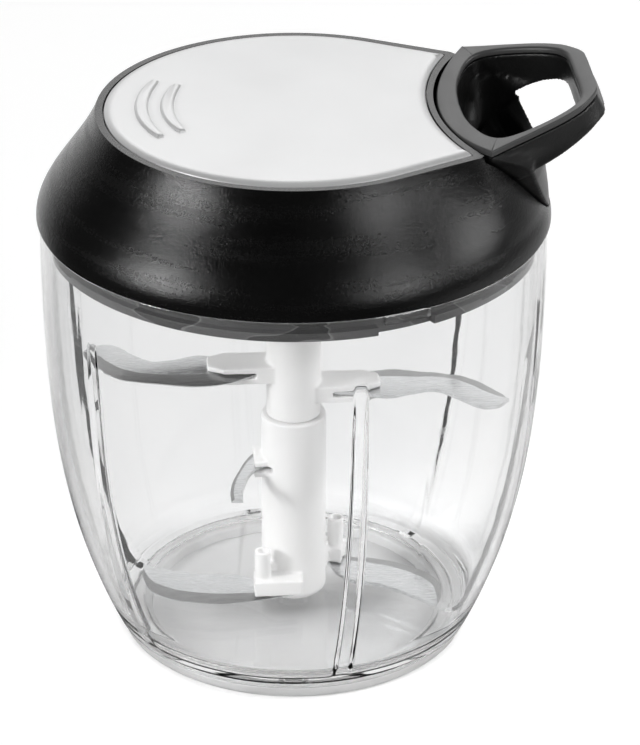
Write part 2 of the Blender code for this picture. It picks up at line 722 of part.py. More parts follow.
def build_foot(b, soft):
    top = BOWL_BOTTOM_Z - GAP
    tongue_out = FOOT_TONGUE_INNER + FOOT_TONGUE_WIDTH
    tongue_z = BOWL_BOTTOM_Z + FOOT_TONGUE_HEIGHT
    profile = [
        (FOOT_INNER_RADIUS, 0),
        (FOOT_RADIUS - FOOT_EDGE, 0),
        (FOOT_RADIUS, FOOT_EDGE),
        (FOOT_TOP_RADIUS, top),
        (tongue_out, top),
        (tongue_out, tongue_z),
        (FOOT_TONGUE_INNER, tongue_z),
        (FOOT_TONGUE_INNER, top),
        (FOOT_INNER_RADIUS, top),
    ]
    b.add("foot_ring", lathe("foot_ring", profile), soft)


def build_pin(b, steel):
    profile = [
        (0, PIN_FOOT_Z),
        (PIN_RADIUS, PIN_FOOT_Z),
        (PIN_RADIUS, PIN_TOP_Z - PIN_NOSE),
        (PIN_RADIUS - PIN_NOSE / 2, PIN_TOP_Z - PIN_NOSE / 4),
        (0, PIN_TOP_Z),
    ]
    b.add("pivot_pin", lathe("pivot_pin", profile, AROUND_SMALL), steel)


# Blade unit
def blade_mesh(name, cut_edge, back_edge, bottom, bevel):
    """A flat blade whose cutting edge is ground from above."""
    cut = smooth_line(cut_edge, 3)
    back = smooth_line(back_edge, 3)
    low = cut + back[::-1]
    ground = []
    for c, k in zip(cut, back):
        ground.append((c[0] + bevel * (k[0] - c[0]), c[1] + bevel * (k[1] - c[1])))
    high = ground + back[::-1]
    top = bottom + BLADE_THICKNESS
    edge = bottom + BLADE_THICKNESS / 4
    sections = [
        [(x, y, bottom) for x, y in low],
        [(x, y, edge) for x, y in low],
        [(x, y, top) for x, y in high],
    ]
    return loft(name, sections)


def arm_mesh(height, angle):
    """An arm of the upper tube with a slot that takes the blade's root."""
    bottom = height - ARM_LIP - GAP
    outline = []
    for x, y in ((0, 1), (0.82, 1), (1, 0.55), (1, -0.55), (0.82, -1), (0, -1)):
        outline.append((x * ARM_REACH, y * ARM_HALF_WIDTH))
    return turned(prism("arm", outline, bottom, bottom + ARM_THICKNESS), angle)


def arm_slot(height, angle):
    """The slot around a blade's root, with a gap on both faces."""
    inner = UPPER_CUT_EDGE[0][0] - GAP
    outline = [
        (inner, -2 * ARM_HALF_WIDTH),
        (2 * ARM_REACH, -2 * ARM_HALF_WIDTH),
        (2 * ARM_REACH, 2 * ARM_HALF_WIDTH),
        (inner, 2 * ARM_HALF_WIDTH),
    ]
    top = height + BLADE_THICKNESS + GAP
    return turned(prism("slot", outline, height - GAP, top), angle)


def build_upper_shaft(b, white):
    spigot_z = LOWER_TUBE_TOP_Z + GAP - SPIGOT_DEPTH
    joint_z = LOWER_TUBE_TOP_Z + GAP
    socket_floor = SOCKET_BOTTOM_Z + SOCKET_FLOOR
    outer = [
        (0, spigot_z),
        (SPIGOT_RADIUS, spigot_z),
        (SPIGOT_RADIUS, joint_z),
        (UPPER_TUBE_RADIUS, joint_z),
        (UPPER_TUBE_RADIUS, SOCKET_BOTTOM_Z),
        (SOCKET_RADIUS, SOCKET_BOTTOM_Z + SOCKET_FLOOR / 2),
        (SOCKET_RADIUS, SOCKET_TOP_Z),
        (0, SOCKET_TOP_Z),
    ]
    mesh = lathe("blade_shaft_upper", outer, AROUND_SMALL)
    steps = []
    for height, angle in zip(UPPER_BLADE_LEVELS, UPPER_BLADE_ANGLES):
        steps.append(("UNION", arm_mesh(height, angle)))
    for height, angle in zip(UPPER_BLADE_LEVELS, UPPER_BLADE_ANGLES):
        steps.append(("DIFFERENCE", arm_slot(height, angle)))
    socket = prism("socket", hexagon(HEX_SOCKET_FLATS), socket_floor, SOCKET_TOP_Z + SOCKET_FLOOR)
    steps.append(("DIFFERENCE", socket))
    b.add("blade_shaft_upper", b.cut(mesh, *steps), white)


def carrier_steps(angle):
    """Block, post and window of one lower blade carrier."""
    base_z = LOWER_BLADE_Z + BLADE_THICKNESS + GAP
    x0 = CARRIER_CENTRE_X - CARRIER_LENGTH / 2
    x1 = CARRIER_CENTRE_X + CARRIER_LENGTH / 2
    y0 = CARRIER_OFFSET_Y - CARRIER_WIDTH / 2
    y1 = CARRIER_OFFSET_Y + CARRIER_WIDTH / 2
    top = base_z + CARRIER_HEIGHT
    block = turned(box("block", x0, x1, y0, y1, base_z, top), angle)
    web = turned(box("web", x0 * 0.7, x1, y1 - GAP, 0, base_z, top + CARRIER_HEIGHT / 2), angle)
    foot = (CARRIER_CENTRE_X + POST_OFFSET_X, CARRIER_OFFSET_Y)
    post = rod("post", (*foot, top - GAP), (*foot, top + POST_HEIGHT), POST_RADIUS, AROUND_SCREW)
    dimple = rod(
        "dimple", (*foot, top + POST_HEIGHT * 0.8), (*foot, top + 2 * POST_HEIGHT),
        POST_RADIUS * 0.62, AROUND_SCREW,
    )
    return [
        ("UNION", web),
        ("UNION", block),
        ("UNION", turned(post, angle)),
        ("DIFFERENCE", turned(dimple, angle)),
    ]


def build_lower_shaft(b, white):
    bottom = LOWER_TUBE_BOTTOM_Z
    outer = [
        (0, bottom),
        (LOWER_TUBE_RADIUS - LOWER_TUBE_ROUND, bottom),
    ]
    for k in range(1, 4):
        angle = math.radians(90 * k / 4)
        outer.append((
            LOWER_TUBE_RADIUS - LOWER_TUBE_ROUND * (1 - math.sin(angle)),
            bottom + LOWER_TUBE_ROUND * (1 - math.cos(angle)),
        ))
    outer += [
        (LOWER_TUBE_RADIUS, bottom + LOWER_TUBE_ROUND),
        (LOWER_TUBE_RADIUS, LOWER_TUBE_TOP_Z),
        (SPIGOT_RADIUS + GAP, LOWER_TUBE_TOP_Z),
        (SPIGOT_RADIUS + GAP, LOWER_TUBE_TOP_Z - SPIGOT_DEPTH),
        (0, LOWER_TUBE_TOP_Z - SPIGOT_DEPTH),
    ]
    mesh = lathe("blade_shaft_lower", outer, AROUND_SMALL)
    steps = []
    for angle in LOWER_BLADE_ANGLES:
        steps += carrier_steps(angle)
    z = MIDDLE_BLADE_Z
    hub = box(
        "hub", -LOWER_TUBE_RADIUS * 1.25, 0, -ARM_HALF_WIDTH, ARM_HALF_WIDTH,
        z - ARM_LIP - GAP, z - ARM_LIP - GAP + ARM_THICKNESS,
    )
    steps.append(("UNION", hub))
    steps.append(("DIFFERENCE", middle_slot()))
    for angle in LOWER_BLADE_ANGLES:
        steps.append(("DIFFERENCE", lower_slot(angle)))
    under = bottom - BOSS_HEIGHT
    bores = ((BOSS_BORE_RADIUS, BOSS_BORE_TOP_Z), (SHAFT_BORE_RADIUS, SHAFT_BORE_TOP_Z))
    for radius, top in bores:
        bore = rod("bore", (0, 0, under), (0, 0, top), radius, AROUND_SMALL)
        steps.append(("DIFFERENCE", bore))
    b.add("blade_shaft_lower", b.cut(mesh, *steps), white)


def middle_slot():
    reach = MIDDLE_CUT_EDGE[0][0] + GAP
    low = MIDDLE_BLADE_Z - GAP
    high = MIDDLE_BLADE_Z + BLADE_THICKNESS + GAP
    side = 2 * LOWER_TUBE_RADIUS
    return box("middle_slot", -side, reach, -side, side, low, high)


def lower_slot(angle):
    """Clears the tube where a lower blade's root passes beneath its carrier."""
    low = LOWER_BLADE_Z - GAP
    high = LOWER_BLADE_Z + BLADE_THICKNESS + GAP
    near = LOWER_BACK_EDGE[0][1] + 2 * GAP
    far = 2 * LOWER_CUT_EDGE[3][1]
    side = 2 * LOWER_TUBE_RADIUS
    cutter = box("lower_slot", -2 * side, side, far, near, low, high)
    return turned(cutter, angle)


def build_blades(b, steel):
    names = ("upper_blade_left", "upper_blade_right")
    for name, height, angle in zip(names, UPPER_BLADE_LEVELS, UPPER_BLADE_ANGLES):
        mesh = blade_mesh(name, UPPER_CUT_EDGE, UPPER_BACK_EDGE, height, BEVEL_SHARES[0])
        b.add(name, turned(mesh, angle), steel)
    names = ("lower_blade_left", "lower_blade_right")
    for name, angle in zip(names, LOWER_BLADE_ANGLES):
        mesh = blade_mesh(
            name, LOWER_CUT_EDGE, LOWER_BACK_EDGE, LOWER_BLADE_Z, BEVEL_SHARES[1])
        b.add(name, turned(mesh, angle), steel)
    mesh = blade_mesh(
        "middle_blade", MIDDLE_CUT_EDGE, MIDDLE_BACK_EDGE, MIDDLE_BLADE_Z, BEVEL_SHARES[1])
    b.add("middle_blade", mesh, steel)


# Lid dome and top plate
def dome_profile_radius(height):
    """Radius of the dome's S shaped side at a height, from one cubic curve."""
    start = (LID_RADIUS, DOME_BOTTOM_Z)
    end = (DOME_TOP_RADIUS, DOME_TOP_Z)
    run = LID_RADIUS - DOME_TOP_RADIUS
    low_pull, high_pull = DOME_BASE_PULL_SHARES, DOME_TOP_PULL_SHARES
    first = (start[0] - low_pull[0] * run, start[1] + low_pull[1] * DOME_HEIGHT)
    second = (end[0] + high_pull[0] * run, end[1] - high_pull[1] * DOME_HEIGHT)
    low, high = 0.0, 1.0
    for _ in range(40):
        t = (low + high) / 2
        s = 1 - t
        z = s ** 3 * start[1] + 3 * s * s * t * first[1] + 3 * s * t * t * second[1] + t ** 3 * end[1]
        if z < height:
            low = t
        else:
            high = t
    return (s ** 3 * start[0] + 3 * s * s * t * first[0] + 3 * s * t * t * second[0]
            + t ** 3 * end[0])


def corner_growth(degrees, corner, radius):
    """How far the straight flanks toward the two corners stand out of a circle."""
    angle = abs((degrees + 180) % 360 - 180)
    reach = math.hypot(*corner)
    corner_at = math.degrees(math.atan2(corner[1], corner[0]))
    touch = corner_at + math.degrees(math.acos(radius / reach))
    if angle >= touch:
        return 0
    angle = max(angle, corner_at)
    return radius / math.cos(math.radians(touch - angle)) - radius


def dome_radius(degrees, height):
    fade = (height - LID_CORNER_FADE_Z) / (DOME_TOP_Z - LID_CORNER_FADE_Z)
    fade = min(max(fade, 0), 1)
    growth = corner_growth(degrees, LID_CORNER, DOME_TOP_RADIUS)
    return dome_profile_radius(height) + growth * fade


def dome_solid(name, inset, bottom, top, levels=8):
    sections = []
    for z in linspace(bottom, top, levels):
        ring = []
        for k in range(AROUND):
            angle = 360 * k / AROUND
            ring.append((*polar(dome_radius(angle, z) - inset, angle), z))
        sections.append(ring)
    return loft(name, sections)


def arc_x(y, corner, arc):
    """The X of an arc through both corners and its own middle."""
    rise = corner[0] - arc
    radius = (corner[1] ** 2 + rise ** 2) / (2 * rise)
    return arc + radius - math.sqrt(radius ** 2 - y ** 2)


def plate_outline(grow):
    """Round at the left, straight flanks, two corners and an arc at the right."""
    corner_at = math.degrees(math.atan2(PLATE_CORNER[1], PLATE_CORNER[0]))
    count = 56
    outline = []
    for k in range(count + 1):
        angle = corner_at + (360 - 2 * corner_at) * k / count
        radius = PLATE_RADIUS + corner_growth(angle, PLATE_CORNER, PLATE_RADIUS) + grow
        outline.append(polar(radius, angle))
    for y in linspace(-PLATE_CORNER[1], PLATE_CORNER[1], 17)[1:-1]:
        outline.append((arc_x(y, PLATE_CORNER, PLATE_ARC_X) + grow, y))
    return outline


def crescent_mesh(centre, radius):
    """A low raised ridge, bowed toward the left and tapering at both ends."""
    outer, inner = [], []
    for angle in linspace(180 - CRESCENT_HALF_ANGLE, 180 + CRESCENT_HALF_ANGLE, 15):
        share = abs(angle - 180) / CRESCENT_HALF_ANGLE
        half = CRESCENT_WIDTH / 2 * math.sqrt(1 - 0.86 * share ** 2)
        outer.append((angle, radius + half))
        inner.append((angle, radius - half))
    sections = []
    levels = ((PLATE_TOP_Z - PLATE_THICKNESS / 2, 1.0), (PLATE_TOP_Z, 1.0),
              (PLATE_TOP_Z + CRESCENT_HEIGHT, 0.55))
    for z, share in levels:
        ring = []
        for angle, r in outer + inner[::-1]:
            x, y = polar(radius + (r - radius) * share, angle)
            ring.append((centre + x, y, z))
        sections.append(ring)
    return loft("crescent", sections)


def build_plate(b, satin):
    outline = plate_outline(0)
    mesh = prism("top_plate", outline, PLATE_TOP_Z - PLATE_THICKNESS, PLATE_TOP_Z)
    steps = [("UNION", crescent_mesh(*crescent)) for crescent in CRESCENTS]
    b.add("top_plate", b.cut(mesh, *steps), satin)


# Handle shapes, shared with the recess in the dome
def tongue_back_x(y, height):
    """Back face of the handle's lower part, leaning out toward the tongue."""
    top = TONGUE_BACK_TOP_Z
    share = min(max((top - height) / (top - TONGUE_HEIGHTS[0]), 0), 1) ** TONGUE_BACK_POWER_SHARE
    reach = min(abs(y), HANDLE_CORNER[1])
    return arc_x(reach, HANDLE_CORNER, HANDLE_ARC_X) * (1 - share) + share * (
        HANDLE_ARC_X + TONGUE_BACK_RUN)


def wedge_sections(grow, far=None, lift=0.0, back_in=0.0):
    """Level sections of the handle's lower part, from the tongue's tip to the top."""
    heights = list(TONGUE_HEIGHTS)
    widths = list(TONGUE_HALF_WIDTHS)
    faces = list(TONGUE_FACE_RADII)
    if grow:
        below = TONGUE_FLOOR + grow - HANDLE_GAP - DOME_WALL if grow > DOME_WALL else grow
        heights = [heights[0] - below] + heights
        widths = [widths[0]] + widths
        faces = [faces[0]] + faces
    if lift:
        heights.append(heights[-1] + lift)
        widths.append(widths[-1])
        faces.append(faces[-1])
    sections = []
    for z, half, face in zip(heights, widths, faces):
        ys = linspace(-(half + grow), half + grow, 15)
        back = [(tongue_back_x(y, z) + back_in - grow, y, z) for y in ys]
        if far is None:
            front = [(math.sqrt(face ** 2 - y ** 2), y, z) for y in reversed(ys)]
        else:
            front = [(far, y, z) for y in reversed(ys)]
        sections.append(back + front)
    return sections


def wedge_cutter(name, grow):
    return loft(name, wedge_sections(grow, far=1.3 * LID_RADIUS, lift=HANDLE_BAR_HEIGHT))


def build_dome(b, black):
    shell = dome_solid("lid_dome", 0, DOME_BOTTOM_Z, DOME_TOP_Z)
    ledge_z = PLATE_TOP_Z - PLATE_THICKNESS - PLATE_SEAT_GAP
    hollow_top = ledge_z - DOME_WALL / 2
    hollow = dome_solid("hollow", DOME_WALL, DOME_BOTTOM_Z - DOME_STEP, hollow_top)
    hollow = b.cut(hollow, ("DIFFERENCE", wedge_cutter("keep", HANDLE_GAP + DOME_WALL)))
    for angle in SCREW_ANGLES:
        x, y = polar(SCREW_CIRCLE, angle)
        post = rod("post", (x, y, PLUG_FLOOR_Z + PLUG_FLOOR + GAP),
                   (x, y, PLATE_TOP_Z), SCREW_POST_RADIUS, AROUND_SCREW)
        hollow = b.cut(hollow, ("DIFFERENCE", post))
    seat = prism("seat", plate_outline(PLATE_SEAT_GAP), ledge_z, PLATE_TOP_Z + DOME_WALL)
    window = prism("window", plate_outline(-PLATE_LEDGE), hollow_top - DOME_WALL,
                   PLATE_TOP_Z + DOME_WALL)
    window = b.cut(window, ("DIFFERENCE", wedge_cutter("keep", HANDLE_GAP + DOME_WALL)))
    steps = [
        ("DIFFERENCE", hollow),
        ("DIFFERENCE", wedge_cutter("recess", HANDLE_GAP)),
        ("DIFFERENCE", tilted_prism(
            "rim", handle_outline(HANDLE_GAP), HANDLE_RIM_HEIGHT + HANDLE_GAP, -DOME_WALL)),
        ("DIFFERENCE", seat),
        ("DIFFERENCE", window),
    ]
    bore_z = PLUG_FLOOR_Z + PLUG_FLOOR
    for angle in SCREW_ANGLES:
        x, y = polar(SCREW_CIRCLE, angle)
        hole = rod("hole", (x, y, bore_z - GAP), (x, y, bore_z + SCREW_LENGTH),
                   SCREW_RADIUS + GAP, AROUND_SCREW)
        steps.append(("DIFFERENCE", hole))
    axis_y = cord_exit()[1]
    guide_x = tongue_back_x(axis_y, ANCHOR_Z)
    bore = rod("bore", (guide_x - 4 * GUIDE_LENGTH, axis_y, ANCHOR_Z),
               (guide_x + GUIDE_LENGTH, axis_y, ANCHOR_Z),
               GUIDE_BORE_RADIUS + GUIDE_FLANGE, AROUND_SCREW)
    steps.append(("DIFFERENCE", bore))
    b.add("lid_dome", b.cut(shell, *steps), black)


# Plug, seal and screws
def build_plug(b, black):
    top_z = DOME_BOTTOM_Z - GAP / 2
    floor_top = PLUG_FLOOR_Z + PLUG_FLOOR
    inner = PLUG_NECK_RADIUS - PLUG_WALL
    flange_top = PLUG_BOTTOM_Z + PLUG_FLANGE_HEIGHT
    profile = [
        (PLUG_HOLE_RADIUS, PLUG_FLOOR_Z),
        (inner, PLUG_FLOOR_Z),
        (inner, PLUG_BOTTOM_Z),
        (PLUG_FLANGE_RADIUS, PLUG_BOTTOM_Z),
        (PLUG_FLANGE_RADIUS, flange_top),
        (PLUG_NECK_RADIUS, flange_top),
        (PLUG_NECK_RADIUS, top_z),
        (PLUG_RIM_RADIUS, top_z),
        (PLUG_RIM_RADIUS, top_z + PLUG_RIM_HEIGHT),
        (inner, top_z + PLUG_RIM_HEIGHT),
        (inner, floor_top),
        (PLUG_HOLE_RADIUS, floor_top),
    ]
    mesh = lathe("lid_plug", profile)
    steps = []
    for angle in LUG_ANGLES:
        steps.append(("DIFFERENCE", sector(
            "notch", PLUG_NECK_RADIUS, PLUG_FLANGE_RADIUS + PLUG_WALL,
            PLUG_BOTTOM_Z - PLUG_WALL, flange_top + GAP, angle, NOTCH_WIDTH_DEG, 8)))
        steps.append(("DIFFERENCE", sector(
            "detent", PLUG_NECK_RADIUS - DETENT_DEPTH, PLUG_NECK_RADIUS + PLUG_WALL,
            flange_top - DETENT_DEPTH, flange_top + DETENT_HEIGHT,
            angle + DETENT_OFFSET_DEG, LUG_WIDTH_DEG + 1, 6)))
    for angle in SCREW_ANGLES:
        x, y = polar(SCREW_CIRCLE, angle)
        steps.append(("DIFFERENCE", rod(
            "hole", (x, y, PLUG_BOTTOM_Z), (x, y, floor_top + GAP),
            SCREW_RADIUS + GAP, AROUND_SCREW)))
    for angle in COVER_SCREW_ANGLES:
        x, y = polar(COVER_SCREW_CIRCLE, angle)
        steps.append(("DIFFERENCE", rod(
            "hole", (x, y, floor_top - COVER_SCREW_LENGTH / 2), (x, y, floor_top + GAP),
            COVER_SCREW_RADIUS + GAP, AROUND_SCREW)))
    steps.append(("DIFFERENCE", wedge_cutter("keep", HANDLE_GAP + DOME_WALL + GAP)))
    b.add("lid_plug", b.cut(mesh, *steps), black)


def build_seal(b, soft):
    top = DOME_BOTTOM_Z - GAP / 2 - GAP
    bottom = top - SEAL_HEIGHT
    inner = PLUG_NECK_RADIUS + GAP
    outer = bowl_radius(bottom) - BOWL_WALL - SEAL_SQUEEZE_GAP
    profile = [
        (inner, bottom + SEAL_HEIGHT / 5),
        (outer - SEAL_HEIGHT / 4, bottom),
        (outer, bottom + SEAL_HEIGHT / 2),
        (outer - SEAL_HEIGHT / 4, top),
        (inner, top),
    ]
    b.add("lid_seal", lathe("lid_seal", profile), soft)


def screw_mesh(name, x, y, head_z, length, radius, head_radius, head_height, down):
    """A pan head screw with a cross recess; down is the way its head faces."""
    tip = head_z - down * length
    profile = [
        (0, tip),
        (radius * 0.5, tip),
        (radius, tip + down * radius),
        (radius, head_z),
        (head_radius, head_z),
        (head_radius, head_z + down * head_height * 0.5),
        (head_radius * 0.72, head_z + down * head_height),
        (0, head_z + down * head_height),
    ]
    return lathe(name, profile, AROUND_SCREW, (x, y))


def cross_steps(x, y, head_z, head_radius, head_height, down):
    top = head_z + down * head_height
    low, high = sorted((top - down * head_height * 0.5, top + down * head_height))
    half = head_radius * 0.56
    thin = head_radius * 0.13
    return [
        ("DIFFERENCE", box("cross", x - half, x + half, y - thin, y + thin, low, high)),
        ("DIFFERENCE", box("cross", x - thin, x + thin, y - half, y + half, low, high)),
    ]


def build_screws(b, steel):
    for i, angle in enumerate(SCREW_ANGLES):
        x, y = polar(SCREW_CIRCLE, angle)
        name = f"lid_screw_{i + 1}"
        head_z = PLUG_FLOOR_Z - GAP
        mesh = screw_mesh(name, x, y, head_z, SCREW_LENGTH, SCREW_RADIUS,
                          SCREW_HEAD_RADIUS, SCREW_HEAD_HEIGHT, -1)
        steps = cross_steps(x, y, head_z, SCREW_HEAD_RADIUS, SCREW_HEAD_HEIGHT, -1)
        b.add(name, b.cut(mesh, *steps), steel)
    for i, angle in enumerate(COVER_SCREW_ANGLES):
        x, y = polar(COVER_SCREW_CIRCLE, angle)
        name = f"cover_screw_{i + 1}"
        head_z = PLUG_FLOOR_Z + PLUG_FLOOR + 2 * GAP + COVER_FOOT
        mesh = screw_mesh(name, x, y, head_z, COVER_SCREW_LENGTH, COVER_SCREW_RADIUS,
                          COVER_SCREW_HEAD_RADIUS, COVER_SCREW_HEAD_HEIGHT, 1)
        steps = cross_steps(x, y, head_z, COVER_SCREW_HEAD_RADIUS,
                            COVER_SCREW_HEAD_HEIGHT, 1)
        b.add(name, b.cut(mesh, *steps), steel)


def build_bush(b, bronze):
    low = PLUG_FLOOR_Z - 2 * GAP
    high = PLUG_FLOOR_Z + PLUG_FLOOR
    outer = PLUG_HOLE_RADIUS - GAP
    profile = [
        (BUSH_INNER_RADIUS, low),
        (outer, low),
        (outer, high),
        (BUSH_INNER_RADIUS, high),
    ]
    b.add("lid_bush", lathe("lid_bush", profile, AROUND_SMALL), bronze)


# Handle
def handle_top(x):
    return HANDLE_TOP_Z + HANDLE_RISE_SHARE * (x - HANDLE_RISE_START_X)


def handle_outline(grow=0.0):
    """The ring's outer edge: arc toward the plate, straight flanks, round end."""
    half = [HANDLE_CORNER] + list(HANDLE_OUTLINE) + [(HANDLE_END_X, 0)]
    half = [(x, y + grow) for x, y in half[:-1]] + [(half[-1][0] + grow, 0)]
    mirrored = [(x, -y) for x, y in reversed(half[:-1])]
    outer = smooth_line(half + mirrored, 3)
    ys = linspace(-HANDLE_CORNER[1], HANDLE_CORNER[1], 17)[1:-1]
    return outer + [(arc_x(abs(y), HANDLE_CORNER, HANDLE_ARC_X) - grow, y) for y in ys]


def opening_outline():
    half = list(HANDLE_OPENING)
    mirrored = [(x, -y) for x, y in reversed(half[1:-1])]
    loop = half + mirrored + [half[0]]
    return smooth_line(loop, 2)[:-1]


def tilted_prism(name, outline, drop_low, drop_high):
    """A slab between two drops below the handle's tilted top face."""
    sections = []
    for drop in (drop_low, drop_high):
        sections.append([(x, y, handle_top(x) - drop) for x, y in outline])
    return loft(name, sections)


def rim_relief():
    """Thins the ring toward the lid, where only its rim lies on the dome."""
    side = 2 * HANDLE_CORNER[1]
    start = HANDLE_CORNER[0] - HANDLE_CORNER[1]
    corner, end = HANDLE_CORNER[0], HANDLE_CORNER[0] + HANDLE_RIM_RUN
    under = 2 * HANDLE_BAR_HEIGHT
    line = [
        (start, handle_top(start) - HANDLE_RIM_HEIGHT),
        (corner, handle_top(corner) - HANDLE_RIM_HEIGHT),
        (end, handle_top(end) - HANDLE_BAR_HEIGHT),
        (end, handle_top(end) - under),
        (start, handle_top(end) - under),
    ]
    return loft("relief", [[(x, y, z) for x, z in line] for y in (-side, side)])


def above_cap(drop):
    """Everything above the seat of the handle's cap."""
    side = 2 * HANDLE_CORNER[1]
    frame = [(0, -side), (2 * HANDLE_END_X, -side), (2 * HANDLE_END_X, side), (0, side)]
    return tilted_prism("above", frame, drop, -2 * HANDLE_END_X)


def build_handle_cap(b, black):
    mesh = tilted_prism("handle_cap", handle_outline(), HANDLE_CAP, 0)
    hole = tilted_prism("hole", opening_outline(), 2 * HANDLE_CAP, -HANDLE_CAP)
    b.add("handle_cap", b.cut(mesh, ("DIFFERENCE", hole)), black)


def scoop_mesh():
    """The pocket between the back wall, the side walls and the tongue."""
    sections = []
    for z in linspace(SCOOP_BOTTOM_Z, HANDLE_TOP_Z, 9):
        half = between(z, TONGUE_HEIGHTS, TONGUE_HALF_WIDTHS) - SCOOP_SIDE_WALL
        half = min(half, HANDLE_OPENING[5][1] - GAP)
        face = between(z, TONGUE_HEIGHTS, TONGUE_FACE_RADII) - SCOOP_FACE_WALL
        ys = linspace(-half, half, 13)
        back = [tongue_back_x(y, z) + SCOOP_BACK_WALL for y in ys]
        front = [math.sqrt(face ** 2 - y ** 2) for y in ys]
        if min(f - r for f, r in zip(front, back)) < SCOOP_FACE_WALL / 2:
            continue
        inner, outer = [], []
        for y, near, away in zip(ys, back, front):
            share = max(1 - (abs(y) / half) ** 4, 0.08) ** 0.5
            middle, reach = (near + away) / 2, (away - near) / 2 * share
            inner.append((middle - reach, y, z))
            outer.append((middle + reach, y, z))
        ring = inner + outer[::-1]
        sections.append(ring)
    return loft("scoop", sections)


def lip_mesh():
    """Cuts the scoop's outer wall down to a U shaped lip beneath the ring."""
    outline = []
    for k in range(13):
        y = LIP_HALF_WIDTH * (2 * k / 12 - 1)
        share = (abs(y) / LIP_HALF_WIDTH) ** 2.4
        outline.append((y, LIP_LOW_Z + (LIP_HIGH_Z - LIP_LOW_Z) * share))
    start = HANDLE_OPENING[5][0]
    sections = []
    for x in (start, 1.3 * LID_RADIUS):
        top = handle_top(x) - HANDLE_BAR_HEIGHT - GAP
        ends = [(x, LIP_HALF_WIDTH, top), (x, -LIP_HALF_WIDTH, top)]
        sections.append([(x, y, z) for y, z in outline] + ends)
    return loft("lip", sections)


def build_handle_body(b, black):
    ring = tilted_prism(
        "handle_body", handle_outline(), HANDLE_BAR_HEIGHT, HANDLE_CAP + HANDLE_CAP_GAP)
    seat = HANDLE_CAP + HANDLE_CAP_GAP
    wedge = loft("wedge", wedge_sections(0, back_in=GAP / 2))
    wedge = b.cut(wedge, ("DIFFERENCE", above_cap(seat)))
    ring = b.cut(ring, ("DIFFERENCE", rim_relief()))
    opening = tilted_prism(
        "opening", opening_outline(), HANDLE_BAR_HEIGHT + HANDLE_CAP, -HANDLE_CAP)
    axis_y = cord_exit()[1]
    back = tongue_back_x(axis_y, ANCHOR_Z)
    anchor = rod(
        "anchor", (back - FERRULE_LENGTH, axis_y, ANCHOR_Z),
        (back + FERRULE_INSET + FERRULE_LENGTH + GAP, axis_y, ANCHOR_Z), ANCHOR_BORE_RADIUS)
    hollow = b.cut(opening, ("UNION", scoop_mesh()), ("UNION", lip_mesh()))
    steps = [
        ("UNION", wedge),
        ("DIFFERENCE", hollow),
        ("DIFFERENCE", anchor),
    ]
    b.add("handle_body", b.cut(ring, *steps), black)


# Drive train in the lid
def build_spindle(b, steel):
    profile = [
        (0, SPINDLE_BOTTOM_Z),
        (SPINDLE_RADIUS, SPINDLE_BOTTOM_Z),
        (SPINDLE_RADIUS, SPINDLE_TOP_Z),
        (0, SPINDLE_TOP_Z),
    ]
    b.add("spindle", lathe("spindle", profile, AROUND_SMALL), steel)
    top = SPINDLE_BOTTOM_Z - GAP
    profile = [
        (0, top - RETAINER_HEIGHT),
        (RETAINER_RADIUS - RETAINER_HEIGHT / 2, top - RETAINER_HEIGHT),
        (RETAINER_RADIUS, top - RETAINER_HEIGHT / 2),
        (RETAINER_RADIUS, top),
        (0, top),
    ]
    mesh = lathe("retaining_screw", profile, AROUND_SMALL)
    steps = cross_steps(0, 0, top, RETAINER_RADIUS, RETAINER_HEIGHT, -1)
    b.add("retaining_screw", b.cut(mesh, *steps), steel)


def build_coupling(b, white):
    bore = SPINDLE_RADIUS + GAP
    flange_top = COUPLING_FLANGE_Z + COUPLING_FLANGE_HEIGHT
    counter = RETAINER_RADIUS + GAP
    profile = [
        (bore, COUPLING_SHOULDER_Z - RETAINER_HEIGHT),
        (COUPLING_NECK_RADIUS, COUPLING_SHOULDER_Z - RETAINER_HEIGHT),
        (COUPLING_NECK_RADIUS, COUPLING_FLANGE_Z),
        (COUPLING_FLANGE_RADIUS, COUPLING_FLANGE_Z),
        (COUPLING_FLANGE_RADIUS, flange_top),
        (bore, flange_top),
    ]
    mesh = lathe("drive_coupling", profile, AROUND_SMALL)
    stub = prism("stub", hexagon(HEX_FLATS), COUPLING_BOTTOM_Z, COUPLING_SHOULDER_Z)
    steps = [
        ("UNION", stub),
        ("DIFFERENCE", rod(
            "bore", (0, 0, COUPLING_BOTTOM_Z - GAP), (0, 0, flange_top + GAP), bore, AROUND_SMALL)),
        ("DIFFERENCE", rod(
            "counter", (0, 0, COUPLING_BOTTOM_Z - GAP), (0, 0, SPINDLE_BOTTOM_Z), counter,
            AROUND_SMALL)),
    ]
    for angle in (0, 180):
        x, y = polar(DRIVE_PEG_CIRCLE, angle)
        steps.append(("UNION", rod(
            "peg", (x, y, flange_top - GAP), (x, y, flange_top + DRIVE_PEG_HEIGHT),
            DRIVE_PEG_RADIUS)))
    b.add("drive_coupling", b.cut(mesh, *steps), white)


